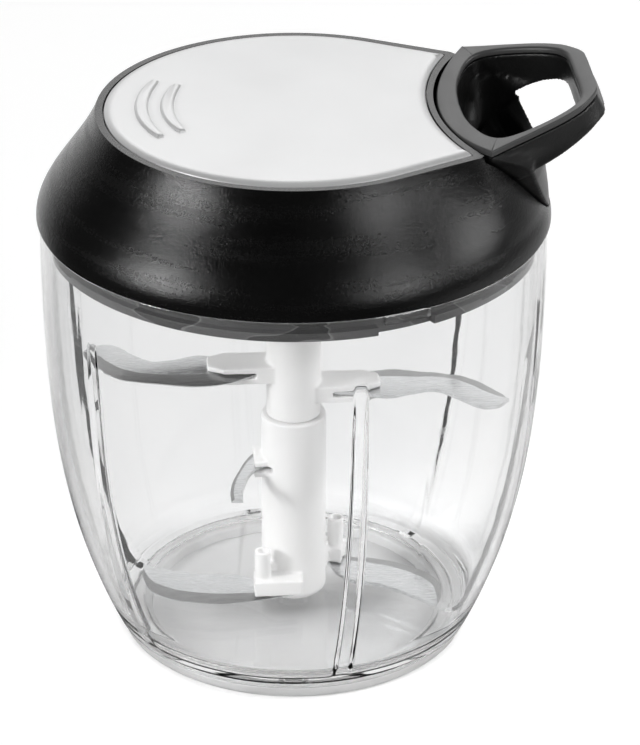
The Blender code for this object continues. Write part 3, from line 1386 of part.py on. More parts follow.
def build_reel(b, white):
    bore = SPINDLE_RADIUS + GAP
    low = REEL_BOTTOM_Z
    drum_low = REEL_FLANGE_Z + REEL_FLANGE
    drum_high = drum_low + DRUM_HEIGHT
    high = drum_high + REEL_FLANGE
    well = SPRING_BOTTOM_Z - 2 * RUNNING_GAP
    profile = [
        (bore, low),
        (REEL_HUB_RADIUS, low),
        (REEL_HUB_RADIUS, REEL_FLANGE_Z),
        (REEL_FLANGE_RADIUS, REEL_FLANGE_Z),
        (REEL_FLANGE_RADIUS, drum_low),
        (DRUM_RADIUS, drum_low),
        (DRUM_RADIUS, drum_high),
        (REEL_FLANGE_RADIUS, drum_high),
        (REEL_FLANGE_RADIUS, high),
        (SPRING_WELL_RADIUS, high),
        (SPRING_WELL_RADIUS, well),
        (bore, well),
    ]
    mesh = lathe("cord_reel", profile, 40)
    steps = []
    for angle in (0, 180):
        x, y = polar(DRIVE_PEG_CIRCLE, angle)
        steps.append(("DIFFERENCE", rod(
            "peg_hole", (x, y, low - GAP), (x, y, low + DRIVE_PEG_HEIGHT),
            DRIVE_PEG_RADIUS + GAP)))
    b.add("cord_reel", b.cut(mesh, *steps), white)


def cord_exit():
    """Where the cord leaves the drum, straight ahead along X."""
    return 0.0, -(DRUM_RADIUS + CORD_RADIUS + GAP)


def cord_paths():
    """The winding on the drum and the lead from the drum to the handle."""
    radius = DRUM_RADIUS + CORD_RADIUS + GAP
    first_z = ANCHOR_Z
    winding = []
    steps = int(CORD_TURNS * 20)
    for k in range(steps + 1):
        turn = CORD_TURNS * k / steps
        drop = CORD_PITCH * turn
        x, y = polar(radius, -90 - 360 * turn)
        winding.append((x, y, first_z - drop))
    x, y = cord_exit()
    end = tongue_back_x(y, ANCHOR_Z) + FERRULE_INSET + FERRULE_LENGTH / 2
    lead = [(x + GAP + k / 12 * (end - x - GAP), y, first_z) for k in range(13)]
    return winding, lead


def least_gap(path, radius, turn_points):
    """Smallest free gap between one turn of a path and the next."""
    best = None
    for i in range(len(path) - turn_points):
        for j in range(i + turn_points // 2, len(path)):
            gap = (Vector(path[i]) - Vector(path[j])).length - 2 * radius
            best = gap if best is None else min(best, gap)
    return best


def build_cord(b, cord):
    winding, lead = cord_paths()
    print("cord winding gap mm", round(least_gap(winding, CORD_RADIUS, 20) * 1000, 3))
    b.add("cord_winding", tube_along("cord_winding", winding, CORD_RADIUS), cord)
    b.add("cord_lead", tube_along("cord_lead", lead, CORD_RADIUS), cord)


def build_ferrule(b, steel):
    y = cord_exit()[1]
    back = tongue_back_x(y, ANCHOR_Z)
    start = back + FERRULE_INSET
    mesh = rod("cord_ferrule", (start, y, ANCHOR_Z), (start + FERRULE_LENGTH, y, ANCHOR_Z),
               FERRULE_RADIUS)
    bore = rod("bore", (start - FERRULE_LENGTH, y, ANCHOR_Z),
               (start + FERRULE_LENGTH * 0.72, y, ANCHOR_Z), CORD_RADIUS + GAP)
    b.add("cord_ferrule", b.cut(mesh, ("DIFFERENCE", bore)), steel)


def build_guide(b, steel):
    """The eyelet that lines the cord's hole in the dome's recess wall."""
    y = cord_exit()[1]
    wall_x = tongue_back_x(y, ANCHOR_Z) - HANDLE_GAP
    shank = GUIDE_BORE_RADIUS + GUIDE_FLANGE - GAP
    start = wall_x - GUIDE_LENGTH
    mesh = rod("cord_guide", (start, y, ANCHOR_Z), (wall_x - GUIDE_INSET, y, ANCHOR_Z), shank)
    collar = rod("collar", (start, y, ANCHOR_Z), (start + GUIDE_FLANGE, y, ANCHOR_Z), GUIDE_RADIUS)
    bore = rod("bore", (start - GUIDE_LENGTH, y, ANCHOR_Z), (wall_x + GUIDE_LENGTH, y, ANCHOR_Z),
               GUIDE_BORE_RADIUS)
    b.add("cord_guide", b.cut(mesh, ("UNION", collar), ("DIFFERENCE", bore)), steel)


def build_spring(b, steel):
    """A flat spiral strip between the cover's arbor and the wall of the reel's well."""
    steps = SPRING_TURNS * 20
    low, high = SPRING_BOTTOM_Z, SPRING_BOTTOM_Z + SPRING_HEIGHT
    sections = []
    for k in range(steps + 1):
        radius = SPRING_INNER_RADIUS + (SPRING_OUTER_RADIUS - SPRING_INNER_RADIUS) * k / steps
        angle = 360 * SPRING_TURNS * k / steps
        inner = polar(radius, angle)
        outer = polar(radius + SPRING_STRIP_THICKNESS, angle)
        sections.append([(*inner, low), (*outer, low), (*outer, high), (*inner, high)])
    spread = (SPRING_OUTER_RADIUS - SPRING_INNER_RADIUS) / SPRING_TURNS - SPRING_STRIP_THICKNESS
    print("recoil spring gap mm", round(spread * 1000, 3))
    b.add("recoil_spring", loft("recoil_spring", sections), steel)


def build_cover(b, white):
    floor_top = PLUG_FLOOR_Z + PLUG_FLOOR + GAP
    outer = COVER_INNER_RADIUS + COVER_WALL
    under = COVER_TOP_Z - COVER_WALL
    bore = SPINDLE_RADIUS + GAP
    arbor_low = SPRING_BOTTOM_Z
    profile = [
        (COVER_INNER_RADIUS, floor_top),
        (COVER_FOOT_RADIUS, floor_top),
        (COVER_FOOT_RADIUS, floor_top + COVER_FOOT),
        (outer, floor_top + COVER_FOOT),
        (outer, COVER_TOP_Z - COVER_WALL),
        (outer - COVER_WALL, COVER_TOP_Z),
        (0, COVER_TOP_Z),
        (0, SPINDLE_TOP_Z + GAP),
        (bore, SPINDLE_TOP_Z + GAP),
        (bore, arbor_low),
        (ARBOR_RADIUS, arbor_low),
        (ARBOR_RADIUS, under),
        (COVER_INNER_RADIUS, under),
    ]
    mesh = lathe("spring_cover", profile, 40)
    y = cord_exit()[1]
    window = box("window", 0, 2 * COVER_FOOT_RADIUS, y - COVER_WINDOW_WIDTH / 2,
                 y + COVER_WINDOW_WIDTH / 2, floor_top + 2 * COVER_FOOT, REEL_TOP_Z)
    steps = [("DIFFERENCE", window)]
    for angle in COVER_SCREW_ANGLES:
        x, y = polar(COVER_SCREW_CIRCLE, angle)
        steps.append(("DIFFERENCE", rod(
            "hole", (x, y, floor_top - GAP), (x, y, floor_top + 2 * COVER_FOOT),
            COVER_SCREW_RADIUS + GAP, AROUND_SCREW)))
    b.add("spring_cover", b.cut(mesh, *steps), white)


def main():
    b = Builder()
    clear = make_material("clear_plastic", (0.93, 0.95, 0.96), 0.05, 0.0, 0.9)
    soft = make_material("soft_ring", (0.80, 0.82, 0.84), 0.4, 0.0, 0.5)
    seal = make_material("grey_seal", (0.30, 0.30, 0.31), 0.6)
    white = make_material("white_plastic", (0.86, 0.86, 0.84), 0.4)
    steel = make_material("bright_steel", (0.66, 0.67, 0.69), 0.25, 1.0)
    satin = make_material("satin_plate", (0.80, 0.80, 0.80), 0.35, 1.0)
    black = make_material("black_plastic", (0.018, 0.018, 0.020), 0.42)
    grey = make_material("dark_plastic", (0.05, 0.05, 0.055), 0.45)
    bronze = make_material("bearing_plastic", (0.70, 0.66, 0.52), 0.5)
    cord = make_material("white_cord", (0.85, 0.85, 0.82), 0.8)
    build_bowl(b, clear)
    build_foot(b, soft)
    build_pin(b, steel)
    build_lower_shaft(b, white)
    build_upper_shaft(b, white)
    build_blades(b, steel)
    build_dome(b, black)
    build_plate(b, satin)
    build_plug(b, grey)
    build_seal(b, seal)
    build_screws(b, steel)
    build_bush(b, bronze)
    build_handle_body(b, black)
    build_handle_cap(b, black)
    build_spindle(b, steel)
    build_coupling(b, white)
    build_reel(b, white)
    build_cord(b, cord)
    build_ferrule(b, steel)
    build_guide(b, steel)
    build_spring(b, steel)
    build_cover(b, white)


main()
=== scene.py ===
"""Looks of a pull cord food chopper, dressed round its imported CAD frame.

The clear bowl, the blade unit, the lid and the pull handle are made anew with finer surfaces
and procedural finishes, and each piece rides on the CAD body that it belongs to. Lengths in
the classes are millimetres about the bowl's axis; Shape.piece puts them into the frame.
"""

import logging
import math
from dataclasses import dataclass
from enum import Enum
from typing import Callable, Iterable, Sequence

import bmesh
import bpy
import numpy as np
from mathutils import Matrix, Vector


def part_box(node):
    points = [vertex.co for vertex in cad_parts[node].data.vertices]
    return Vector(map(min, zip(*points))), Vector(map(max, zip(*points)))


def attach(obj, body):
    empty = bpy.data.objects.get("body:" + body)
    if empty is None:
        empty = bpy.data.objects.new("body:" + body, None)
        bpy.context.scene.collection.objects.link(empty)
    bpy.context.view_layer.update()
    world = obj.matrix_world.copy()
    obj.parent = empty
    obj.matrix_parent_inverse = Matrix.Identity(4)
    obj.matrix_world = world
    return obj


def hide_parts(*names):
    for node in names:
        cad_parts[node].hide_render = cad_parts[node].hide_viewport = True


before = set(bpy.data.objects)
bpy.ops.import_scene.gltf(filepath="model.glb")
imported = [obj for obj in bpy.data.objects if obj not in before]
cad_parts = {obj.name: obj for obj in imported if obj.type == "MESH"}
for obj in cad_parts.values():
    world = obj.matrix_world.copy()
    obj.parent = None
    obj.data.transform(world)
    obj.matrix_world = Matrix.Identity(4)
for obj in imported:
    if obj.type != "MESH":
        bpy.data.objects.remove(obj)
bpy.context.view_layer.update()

LOG = logging.getLogger("food_chopper")
MM = 0.001
AXIS_X = -7.25
LUG_ANGLES = (52.0, 172.0, 292.0)

# Limits of the mesh steps
WELD = 0.001
SMOOTHING = 0.5
CORNER_SHARE = 0.45
SHARPEST_COSINE = 0.5
FAR_OFF = 99.0

# Short names for types
Point = Sequence[float]
Pair = tuple[float, float]
Row = tuple[float, ...]
Pairs = tuple[Pair, ...]
Rows = tuple[Row, ...]
Socket = bpy.types.NodeSocket
Sockets = bpy.types.NodeOutputs
Material = bpy.types.Material


class Body(str, Enum):
    """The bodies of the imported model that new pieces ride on."""

    BOWL = "bowl_unit"
    LID = "lid_unit"
    DRIVE = "drive_unit"
    BLADES = "blade_unit"
    HANDLE = "handle_unit"


class Slot(str, Enum):
    """The record's material slots, named alongside new pieces."""

    CLEAR = "clear_plastic"
    SOFT = "soft_ring"
    SEAL = "grey_seal"
    WHITE = "white_plastic"
    STEEL = "bright_steel"
    PLATE = "satin_plate"
    BLACK = "black_plastic"
    DARK = "dark_plastic"
    CORD = "white_cord"


# Small geometry helpers
def spread(first: float, last: float, count: int) -> list[float]:
    """Evenly spaced numbers.

    Args:
        first: the first number.
        last: the last number.
        count: how many, at least two.

    Returns:
        The numbers, both ends included.
    """
    return [first + (last - first) * i / (count - 1) for i in range(count)]


def held(value: float, most: float = 1.0) -> float:
    """Holds a number between nought and the most that it may be."""
    return min(max(value, 0), most)


def sweep(degrees: float, steps: int) -> list[float]:
    """The steps of a turn that starts at nought, in radians."""
    return [math.radians(degrees * k / steps) for k in range(steps + 1)]


def polar(radius: float, degrees: float) -> Pair:
    """A point on a circle, as x and y."""
    angle = math.radians(degrees)
    return radius * math.cos(angle), radius * math.sin(angle)


def smooth_line(points: Sequence[Point], steps: int) -> list[Row]:
    """Draws a smooth curve through given points.

    Args:
        points: the points that the curve passes, in two or three dimensions.
        steps: how many points the curve has for each given one.

    Returns:
        The points of the curve.
    """
    ends = [points[0], *points, points[-1]]
    line = []
    for i in range(1, len(ends) - 2):
        a, b, c, d = (Vector(p) for p in ends[i - 1:i + 3])
        for k in range(steps):
            t = k / steps
            bend = (2 * a - 5 * b + 4 * c - d) * t ** 2 + (3 * b - a - 3 * c + d) * t ** 3
            line.append(tuple(0.5 * (2 * b + (c - a) * t + bend)))
    line.append(tuple(points[-1]))
    return line


def blend_between(value: float, xs: Sequence[float], ys: Sequence[float]) -> float:
    """Straight line interpolation in a rising list."""
    return float(np.interp(value, xs, ys))


def rounded(profile: Sequence[Point], radius: float, steps: int = 4) -> list[Pair]:
    """Rounds every corner of a closed profile that isn't on the axis.

    Args:
        profile: the corners, as radius and height.
        radius: the radius of the rounding, made smaller where a side is short.
        steps: how many pieces each round corner has.

    Returns:
        The profile with round corners.
    """
    line = []
    count = len(profile)
    for i, corner in enumerate(profile):
        here = Vector(corner)
        before = Vector(profile[i - 1]) - here
        after = Vector(profile[(i + 1) % count]) - here
        if here.x == 0 or before.length == 0 or after.length == 0:
            line.append(tuple(here))
            continue
        reach = min(radius, before.length * CORNER_SHARE, after.length * CORNER_SHARE)
        start, end = here + before.normalized() * reach, here + after.normalized() * reach
        for k in range(steps + 1):
            t = k / steps
            line.append(tuple((1 - t) ** 2 * start + 2 * t * (1 - t) * here + t * t * end))
    return line


def offset_loop(outline: Sequence[Point], inset: float) -> list[Pair]:
    """Moves a closed outline inwards.

    Args:
        outline: the corners, anticlockwise seen from above.
        inset: how far the line moves, negative for outwards.

    Returns:
        The moved corners, as many as before.
    """
    loop = np.array(outline, float)
    ahead = np.roll(loop, -1, 0) - loop
    ahead /= np.linalg.norm(ahead, axis=1)[:, None]
    normal = np.stack([-ahead[:, 1], ahead[:, 0]], 1)
    mean = normal + np.roll(normal, 1, 0)
    mean /= np.linalg.norm(mean, axis=1)[:, None]
    cosine = np.clip((mean * normal).sum(1), SHARPEST_COSINE, 1)
    return [tuple(p) for p in loop + mean * (inset / cosine)[:, None]]


def ring_faces(rings: Sequence[Sequence[int]], closed: bool = True) -> list[list[int]]:
    """Faces between rings that all have the same number of points.

    Args:
        rings: the numbers of each ring's points, one number over again for a tip.
        closed: whether the last ring is joined to the first.

    Returns:
        The faces, without the corners that fall together.
    """
    following = [*rings[1:], rings[0]] if closed else rings[1:]
    faces = []
    for lower, upper in zip(rings, following):
        for k in range(len(lower)):
            n = (k + 1) % len(lower)
            corners = list(dict.fromkeys([lower[k], lower[n], upper[n], upper[k]]))
            if len(corners) > 2:
                faces.append(corners)
    return faces


def placed(name: str, data: bpy.types.ID) -> bpy.types.Object:
    """Puts a new object into the scene."""
    thing = bpy.data.objects.new(name, data)
    bpy.context.scene.collection.objects.link(thing)
    return thing


class Shape:
    """A closed mesh under construction, in millimetres about the bowl's axis."""

    def __init__(self, mesh: bpy.types.Mesh) -> None:
        """Keeps the mesh."""
        self.mesh = mesh

    @classmethod
    def of(cls, points: Iterable[Point], faces: Iterable[Sequence[int]]) -> "Shape":
        """Makes a shape from points and faces and points its faces outwards."""
        mesh = bpy.data.meshes.new("shape")
        mesh.from_pydata([tuple(p) for p in points], [], [tuple(f) for f in faces])
        return cls(mesh).tidied()

    @classmethod
    def loft(cls, sections: Sequence[Sequence[Point]], caps: bool = True) -> "Shape":
        """Skins closed sections that all have the same number of points.

        Args:
            sections: the sections, in order.
            caps: whether the first and last section are closed, or joined to each other.

        Returns:
            The skinned shape.
        """
        count = len(sections[0])
        points = [tuple(p) for section in sections for p in section]
        rings = [list(range(i, i + count)) for i in range(0, len(points), count)]
        faces = [rings[0], rings[-1]] if caps else []
        return cls.of(points, faces + ring_faces(rings, closed=not caps))

    @classmethod
    def lathe(cls, profile: Sequence[Point], around: int = 160, centre: Pair = (0, 0)) -> "Shape":
        """Turns a closed profile about an upright line.

        Args:
            profile: pairs of radius and height.
            around: how many steps the circle has.
            centre: x and y of the upright line.

        Returns:
            The turned shape.
        """
        points: list[Point] = []
        rings = []
        for radius, height in profile:
            if radius == 0:
                rings.append([len(points)] * around)
                points.append((*centre, height))
                continue
            rings.append(list(range(len(points), len(points) + around)))
            for k in range(around):
                x, y = polar(radius, 360 * k / around)
                points.append((centre[0] + x, centre[1] + y, height))
        return cls.of(points, ring_faces(rings))

    @classmethod
    def rod(cls, radius: float, low: float, high: float, around: int, centre: Pair = (0, 0)) -> "Shape":
        """An upright round rod, also the tool for a bore."""
        return cls.lathe([(0, low), (radius, low), (radius, high), (0, high)], around, centre)

    @classmethod
    def prism(cls, outline: Sequence[Point], low: float, high: float) -> "Shape":
        """An upright prism between two heights."""
        return cls.loft([[(x, y, z) for x, y in outline] for z in (low, high)])

    @classmethod
    def box(cls, x: Point, y: Point, z: Point) -> "Shape":
        """A box from its lowest and highest x, y and z."""
        return cls.prism([(x[0], y[0]), (x[1], y[0]), (x[1], y[1]), (x[0], y[1])], *z)

    @classmethod
    def tube(cls, path: Sequence[Point], radii: float | Sequence[float], around: int = 24) -> "Shape":
        """A round bar along a path, its sections carried without twist.

        Args:
            path: the points of the centre line.
            radii: one radius, or one for each point.
            around: how many sides the bar has.

        Returns:
            The bar, with closed ends.
        """
        line = [Vector(p) for p in path]
        sizes = [radii] * len(line) if isinstance(radii, (int, float)) else list(radii)
        side = (line[1] - line[0]).normalized().orthogonal().normalized()
        sections = []
        for i, (place, radius) in enumerate(zip(line, sizes)):
            ahead = (line[min(i + 1, len(line) - 1)] - line[max(i - 1, 0)]).normalized()
            side = (side - side.dot(ahead) * ahead).normalized()
            up = ahead.cross(side)
            ring = []
            for k in range(around):
                angle = math.tau * k / around
                ring.append(place + radius * (math.cos(angle) * side + math.sin(angle) * up))
            sections.append(ring)
        return cls.loft(sections)

    def tidied(self) -> "Shape":
        """Merges doubled points and points every face outwards."""
        work = bmesh.new()
        work.from_mesh(self.mesh)
        bmesh.ops.remove_doubles(work, verts=work.verts, dist=WELD)
        bmesh.ops.dissolve_degenerate(work, edges=work.edges, dist=WELD)
        bmesh.ops.recalc_face_normals(work, faces=work.faces)
        if work.calc_volume(signed=True) < 0:
            bmesh.ops.reverse_faces(work, faces=work.faces)
        work.to_mesh(self.mesh)
        work.free()
        return self

    def turned(self, degrees: float) -> "Shape":
        """Turns the shape about the bowl's axis."""
        c, s = math.cos(math.radians(degrees)), math.sin(math.radians(degrees))
        return self.moved(lambda p: (c * p.x - s * p.y, s * p.x + c * p.y, p.z))

    def moved(self, rule: Callable[[Vector], Point]) -> "Shape":
        """Moves every point by a rule."""
        for vertex in self.mesh.vertices:
            vertex.co = rule(vertex.co)
        return self

    def with_modifier(self, kind: str, inputs: dict[str, object] | None = None,
                      **settings: object) -> "Shape":
        """Runs one Blender modifier on the shape.

        Args:
            kind: the modifier's type.
            inputs: a node tree's inputs, by name.
            settings: the modifier's own settings.

        Returns:
            The changed shape, as a plain mesh.
        """
        holder = placed("working", self.mesh)
        modifier = holder.modifiers.new("step", kind)
        for name, value in settings.items():
            setattr(modifier, name, value)
        for item in modifier.node_group.interface.items_tree if inputs else ():
            if item.item_type == "SOCKET" and item.in_out == "INPUT" and item.name in inputs:
                modifier[item.identifier] = inputs[item.name]
        ready = holder.evaluated_get(bpy.context.evaluated_depsgraph_get())
        self.mesh = bpy.data.meshes.new_from_object(ready)
        bpy.data.objects.remove(holder, do_unlink=True)
        return self

    def combined(self, operation: str, *others: "Shape") -> "Shape":
        """Joins, cuts or keeps what is shared with other shapes, by exact Booleans."""
        for other in others:
            tool = placed("tool", other.mesh)
            self.with_modifier("BOOLEAN", operation=operation, object=tool, solver="EXACT")
            bpy.data.objects.remove(tool, do_unlink=True)
            self.tidied()
        return self

    def cut(self, *others: "Shape") -> "Shape":
        """Cuts other shapes out of this one."""
        return self.combined("DIFFERENCE", *others)

    def joined(self, *others: "Shape") -> "Shape":
        """Joins other shapes to this one."""
        return self.combined("UNION", *others)

    def softened(self, voxel: float, passes: int) -> "Shape":
        """Gives the shape moulded edges: an even net of faces, then a smoothing.

        Args:
            voxel: the size of the net's faces.
            passes: how often it is smoothed.

        Returns:
            The softened shape.
        """
        self.with_modifier("REMESH", mode="VOXEL", voxel_size=voxel)
        return self.with_modifier("SMOOTH", factor=SMOOTHING, iterations=passes)

    def piece(self, name: str, material: Material, body: Body, slot: Slot,
              replaces: Sequence[str] = (), sharp: float = 35) -> bpy.types.Object:
        """Places the shape in the frame as a finished piece.

        Args:
            name: the piece's name.
            material: its finish.
            body: the CAD body that it rides on.
            slot: the record's slot of its finish; not used.
            replaces: the CAD nodes that it stands for.
            sharp: the angle in degrees past which an edge shows.

        Returns:
            The object.
        """
        mesh = self.mesh
        mesh.name = name
        count = len(mesh.vertices)
        places = np.empty(count * 3, np.float64)
        mesh.vertices.foreach_get("co", places)
        places = (places.reshape(-1, 3) + (AXIS_X, 0, 0)) * MM
        mesh.vertices.foreach_set("co", places.ravel())
        mesh.materials.clear()
        mesh.materials.append(material)
        mesh.polygons.foreach_set("material_index", [0] * len(mesh.polygons))
        mesh.shade_smooth()
        mesh.set_sharp_from_angle(angle=math.radians(sharp))
        mesh.update()
        thing = placed(name, mesh)
        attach(thing, body.value)
        if replaces:
            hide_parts(*replaces)
        LOG.info("%s: %d faces on %s", name, len(mesh.polygons), body.value)
        return thing


# Node trees
class Nodes:
    """A node tree under construction."""

    def __init__(self, tree: bpy.types.NodeTree) -> None:
        """Keeps the tree."""
        self.tree = tree

    def feed(self, socket: Socket, value: object) -> None:
        """Gives an input a value, or links an output to it."""
        if isinstance(value, Socket):
            self.tree.links.new(value, socket)
        else:
            socket.default_value = value

    def node(self, kind: str, inputs: dict | None = None, **settings: object) -> bpy.types.Node:
        """Adds a node.

        Args:
            kind: the node's type.
            inputs: a value or an output for each input, by name or number.
            settings: the node's own settings.

        Returns:
            The node.
        """
        node = self.tree.nodes.new(kind)
        for name, value in settings.items():
            setattr(node, name, value)
        for key, value in (inputs or {}).items():
            self.feed(node.inputs[key], value)
        return node

    def out(self, kind: str, inputs: dict | None = None, output: int | str = 0,
            **settings: object) -> Socket:
        """Adds a node and gives one of its outputs."""
        return self.node(kind, inputs, **settings).outputs[output]

    def math(self, operation: str, first: object, second: object = 0.0, clamp: bool = False) -> Socket:
        """Adds a sum, product or other step on two numbers."""
        return self.out("ShaderNodeMath", {0: first, 1: second}, operation=operation, use_clamp=clamp)

    def remap(self, value: object, span: Point, to: Point, kind: str = "LINEAR") -> Socket:
        """Maps a number from one span to another, held at the ends."""
        return self.out("ShaderNodeMapRange", {
            "Value": value, "From Min": span[0], "From Max": span[1],
            "To Min": to[0], "To Max": to[1]}, interpolation_type=kind)

    def blend(self, share: object, first: object, second: object) -> Socket:
        """Mixes two colours."""
        return self.out("ShaderNodeMix", {0: share, 6: first, 7: second}, 2, data_type="RGBA")

    def noise(self, place: object, scale: object, detail: float = 2.0,
              roughness: float = 0.5) -> Socket:
        """Adds a cloudy pattern."""
        return self.out("ShaderNodeTexNoise", {
            "Vector": place, "Scale": scale, "Detail": detail, "Roughness": roughness})

    def place(self) -> Socket:
        """The place on the piece, in metres."""
        return self.out("ShaderNodeTexCoord", output="Object")

    def weighted(self, base: float, *parts: tuple[object, float]) -> Socket:
        """Adds patterns, each times its weight, to a base value.

        Args:
            base: the value where every pattern is nought.
            parts: pairs of pattern and weight.

        Returns:
            The sum.
        """
        total = self.math("MULTIPLY", *parts[0])
        for part in parts[1:]:
            total = self.math("ADD", total, self.math("MULTIPLY", *part))
        return self.math("ADD", total, base) if base else total

    def smooth(self, value: object, span: Point, to: Point = (0, 1)) -> Socket:
        """Maps a number as remap does, with soft ends."""
        return self.remap(value, span, to, "SMOOTHSTEP")


def start_tree(name: str, sizes: Iterable[str],
               counts: Iterable[str] = ()) -> tuple[Nodes, Sockets]:
    """Starts a geometry node tree with named inputs.

    Args:
        name: the tree's name.
        sizes: the names of its sizes.
        counts: the names of its whole numbers.

    Returns:
        The tree, and the sockets of its inputs.
    """
    tree = bpy.data.node_groups.new(name, "GeometryNodeTree")
    kinds = {"Geometry": "Geometry", **dict.fromkeys(sizes, "Float"),
             **dict.fromkeys(counts, "Int"), "Material": "Material"}
    for label, kind in kinds.items():
        tree.interface.new_socket(label, in_out="INPUT", socket_type=f"NodeSocket{kind}")
    tree.interface.new_socket("Geometry", in_out="OUTPUT", socket_type="NodeSocketGeometry")
    nodes = Nodes(tree)
    return nodes, nodes.node("NodeGroupInput").outputs


def end_tree(nodes: Nodes, geometry: Socket, material: Socket) -> None:
    """Ends a geometry node tree.

    Args:
        nodes: the tree.
        geometry: what it made.
        material: the finish that this gets.
    """
    whole = nodes.out("GeometryNodeRealizeInstances", {"Geometry": geometry})
    dressed = nodes.out("GeometryNodeSetMaterial", {"Geometry": whole, "Material": material})
    nodes.node("NodeGroupOutput", {"Geometry": dressed})


def spark_grain(n: Nodes, given: Sockets) -> Sequence[object]:
    """Pits and bumps of a spark eroded mould: height and a speckle."""
    place = n.place()
    coarse = n.noise(place, given["Scale"], 3, 0.62)
    fine_scale = n.math("MULTIPLY", given["Scale"], 2.7)
    pits = n.out("ShaderNodeTexVoronoi", {"Vector": place, "Scale": fine_scale}, "Distance")
    height = n.math("ADD", coarse, n.math("MULTIPLY", pits, 0.55))
    return height, n.remap(height, (0.55, 1.05), (0, 1))


def mould_variation(n: Nodes, given: Sockets) -> Sequence[object]:
    """Slow clouds, as where plastic flowed and cooled."""
    cloud = n.noise(n.place(), given["Scale"], 3, 0.55)
    return (n.smooth(cloud, (0.3, 0.7)),)


def handling_marks(n: Nodes, given: Sockets) -> Sequence[object]:
    """Faint wiped streaks and hair scratches."""
    turned = n.out("ShaderNodeMapping", {
        "Vector": n.place(), "Rotation": (0.4, 0.7, 0.9), "Scale": (1, 1, 14)})
    streaks = n.noise(turned, given["Scale"], 4, 0.6)
    hair_scale = n.math("MULTIPLY", given["Scale"], 6)
    hairs = n.remap(n.noise(turned, hair_scale, 1), (0.64, 0.70), (0, 1))
    return n.smooth(streaks, (0.42, 0.72)), hairs


def brushed_lines(n: Nodes, given: Sockets) -> Sequence[object]:
    """Fine parallel lines of rolled or ground steel."""
    stretched = n.out("ShaderNodeMapping", {
        "Vector": n.place(), "Rotation": (0, 0, 0.35), "Scale": (1, 26, 26)})
    lines = n.noise(stretched, given["Scale"], 3, 0.65)
    return lines, n.remap(lines, (0.35, 0.65), (0, 1))


def contact_patches(n: Nodes, given: Sockets) -> Sequence[object]:
    """Irregular flat patches with an outline, where a soft or moulded face touches clear wall: the
    masks for painted shade in the patches and a painted highlight along their outline.
    """
    stretched = n.out("ShaderNodeMapping", {"Vector": n.place(), "Scale": (1, 1, 2.6)})
    cloud = n.noise(stretched, given["Scale"], 1, 0.4)
    level = given["Level"]
    inside = n.remap(n.math("SUBTRACT", cloud, level), (0.0, 0.006), (0, 1))
    halo = n.remap(n.math("SUBTRACT", cloud, level), (-0.014, 0.0), (0, 1))
    return inside, n.math("SUBTRACT", halo, inside, clamp=True)


class Effect(Enum):
    """The effects that several finishes share."""

    GRAIN = ("spark_grain", {"Scale": 3200.0}, ("Height", "Speckle"), spark_grain)
    VARIATION = ("mould_variation", {"Scale": 40.0}, ("Value",), mould_variation)
    MARKS = ("handling_marks", {"Scale": 18.0}, ("Clouds", "Hairs"), handling_marks)
    BRUSHED = ("brushed_lines", {"Scale": 160.0}, ("Height", "Mask"), brushed_lines)
    PATCHES = ("contact_patches", {"Scale": 60.0, "Level": 0.56}, ("Patch", "Outline"),
               contact_patches)

    def group(self) -> bpy.types.NodeTree:
        """The effect's shader node group, built once."""
        name, inputs, outputs, rule = self.value
        if name not in bpy.data.node_groups:
            tree = bpy.data.node_groups.new(name, "ShaderNodeTree")
            kind = "NodeSocketFloat"
            for label, value in inputs.items():
                socket = tree.interface.new_socket(label, in_out="INPUT", socket_type=kind)
                socket.default_value = value
            for label in outputs:
                tree.interface.new_socket(label, in_out="OUTPUT", socket_type=kind)
            nodes = Nodes(tree)
            results = rule(nodes, nodes.node("NodeGroupInput").outputs)
            nodes.node("NodeGroupOutput", dict(zip(outputs, results)))
        return bpy.data.node_groups[name]


class Dress(Nodes):
    """A material's tree: the plain shader, and the ways that effects reach it."""

    def __init__(self, name: str) -> None:
        """Makes an empty material with a Principled shader."""
        self.material = bpy.data.materials.new(name)
        self.material.use_nodes = True
        super().__init__(self.material.node_tree)
        self.shader = self.tree.nodes["Principled BSDF"]

    def effect(self, effect: Effect, output: str, **values: float) -> Socket:
        """Places a shared effect with its own values.

        Args:
            effect: which effect.
            output: which of its outputs is wanted.
            values: its input values.

        Returns:
            The output.
        """
        group = self.node("ShaderNodeGroup", node_tree=effect.group())
        for label, value in values.items():
            group.inputs[label].default_value = value
        return group.outputs[output]

    def clouds(self, scale: float) -> Socket:
        """Slow clouds of tone."""
        return self.effect(Effect.VARIATION, "Value", Scale=scale)

    def finish(self, height: Socket | None = None, relief: Pair = (0.0, 0.0),
               **inputs: object) -> Material:
        """Fills the shader.

        Args:
            height: the pattern that the surface's relief follows.
            relief: the relief's depth in metres, and its strength.
            inputs: values and outputs for the shader's inputs, with _ for a space.

        Returns:
            The finished material.
        """
        if height is not None:
            inputs["Normal"] = self.out("ShaderNodeBump", {
                "Height": height, "Distance": relief[0], "Strength": relief[1]}, "Normal")
        for label, value in inputs.items():
            self.feed(self.shader.inputs[label.replace("_", " ")], value)
        self.material.diffuse_color = tuple(self.shader.inputs["Base Color"].default_value)
        return self.material


def grey(level: float, warm: float = 0.0) -> Row:
    """A grey, a little warm or cool."""
    return level * (1 + warm), level, level * (1 - warm), 1.0


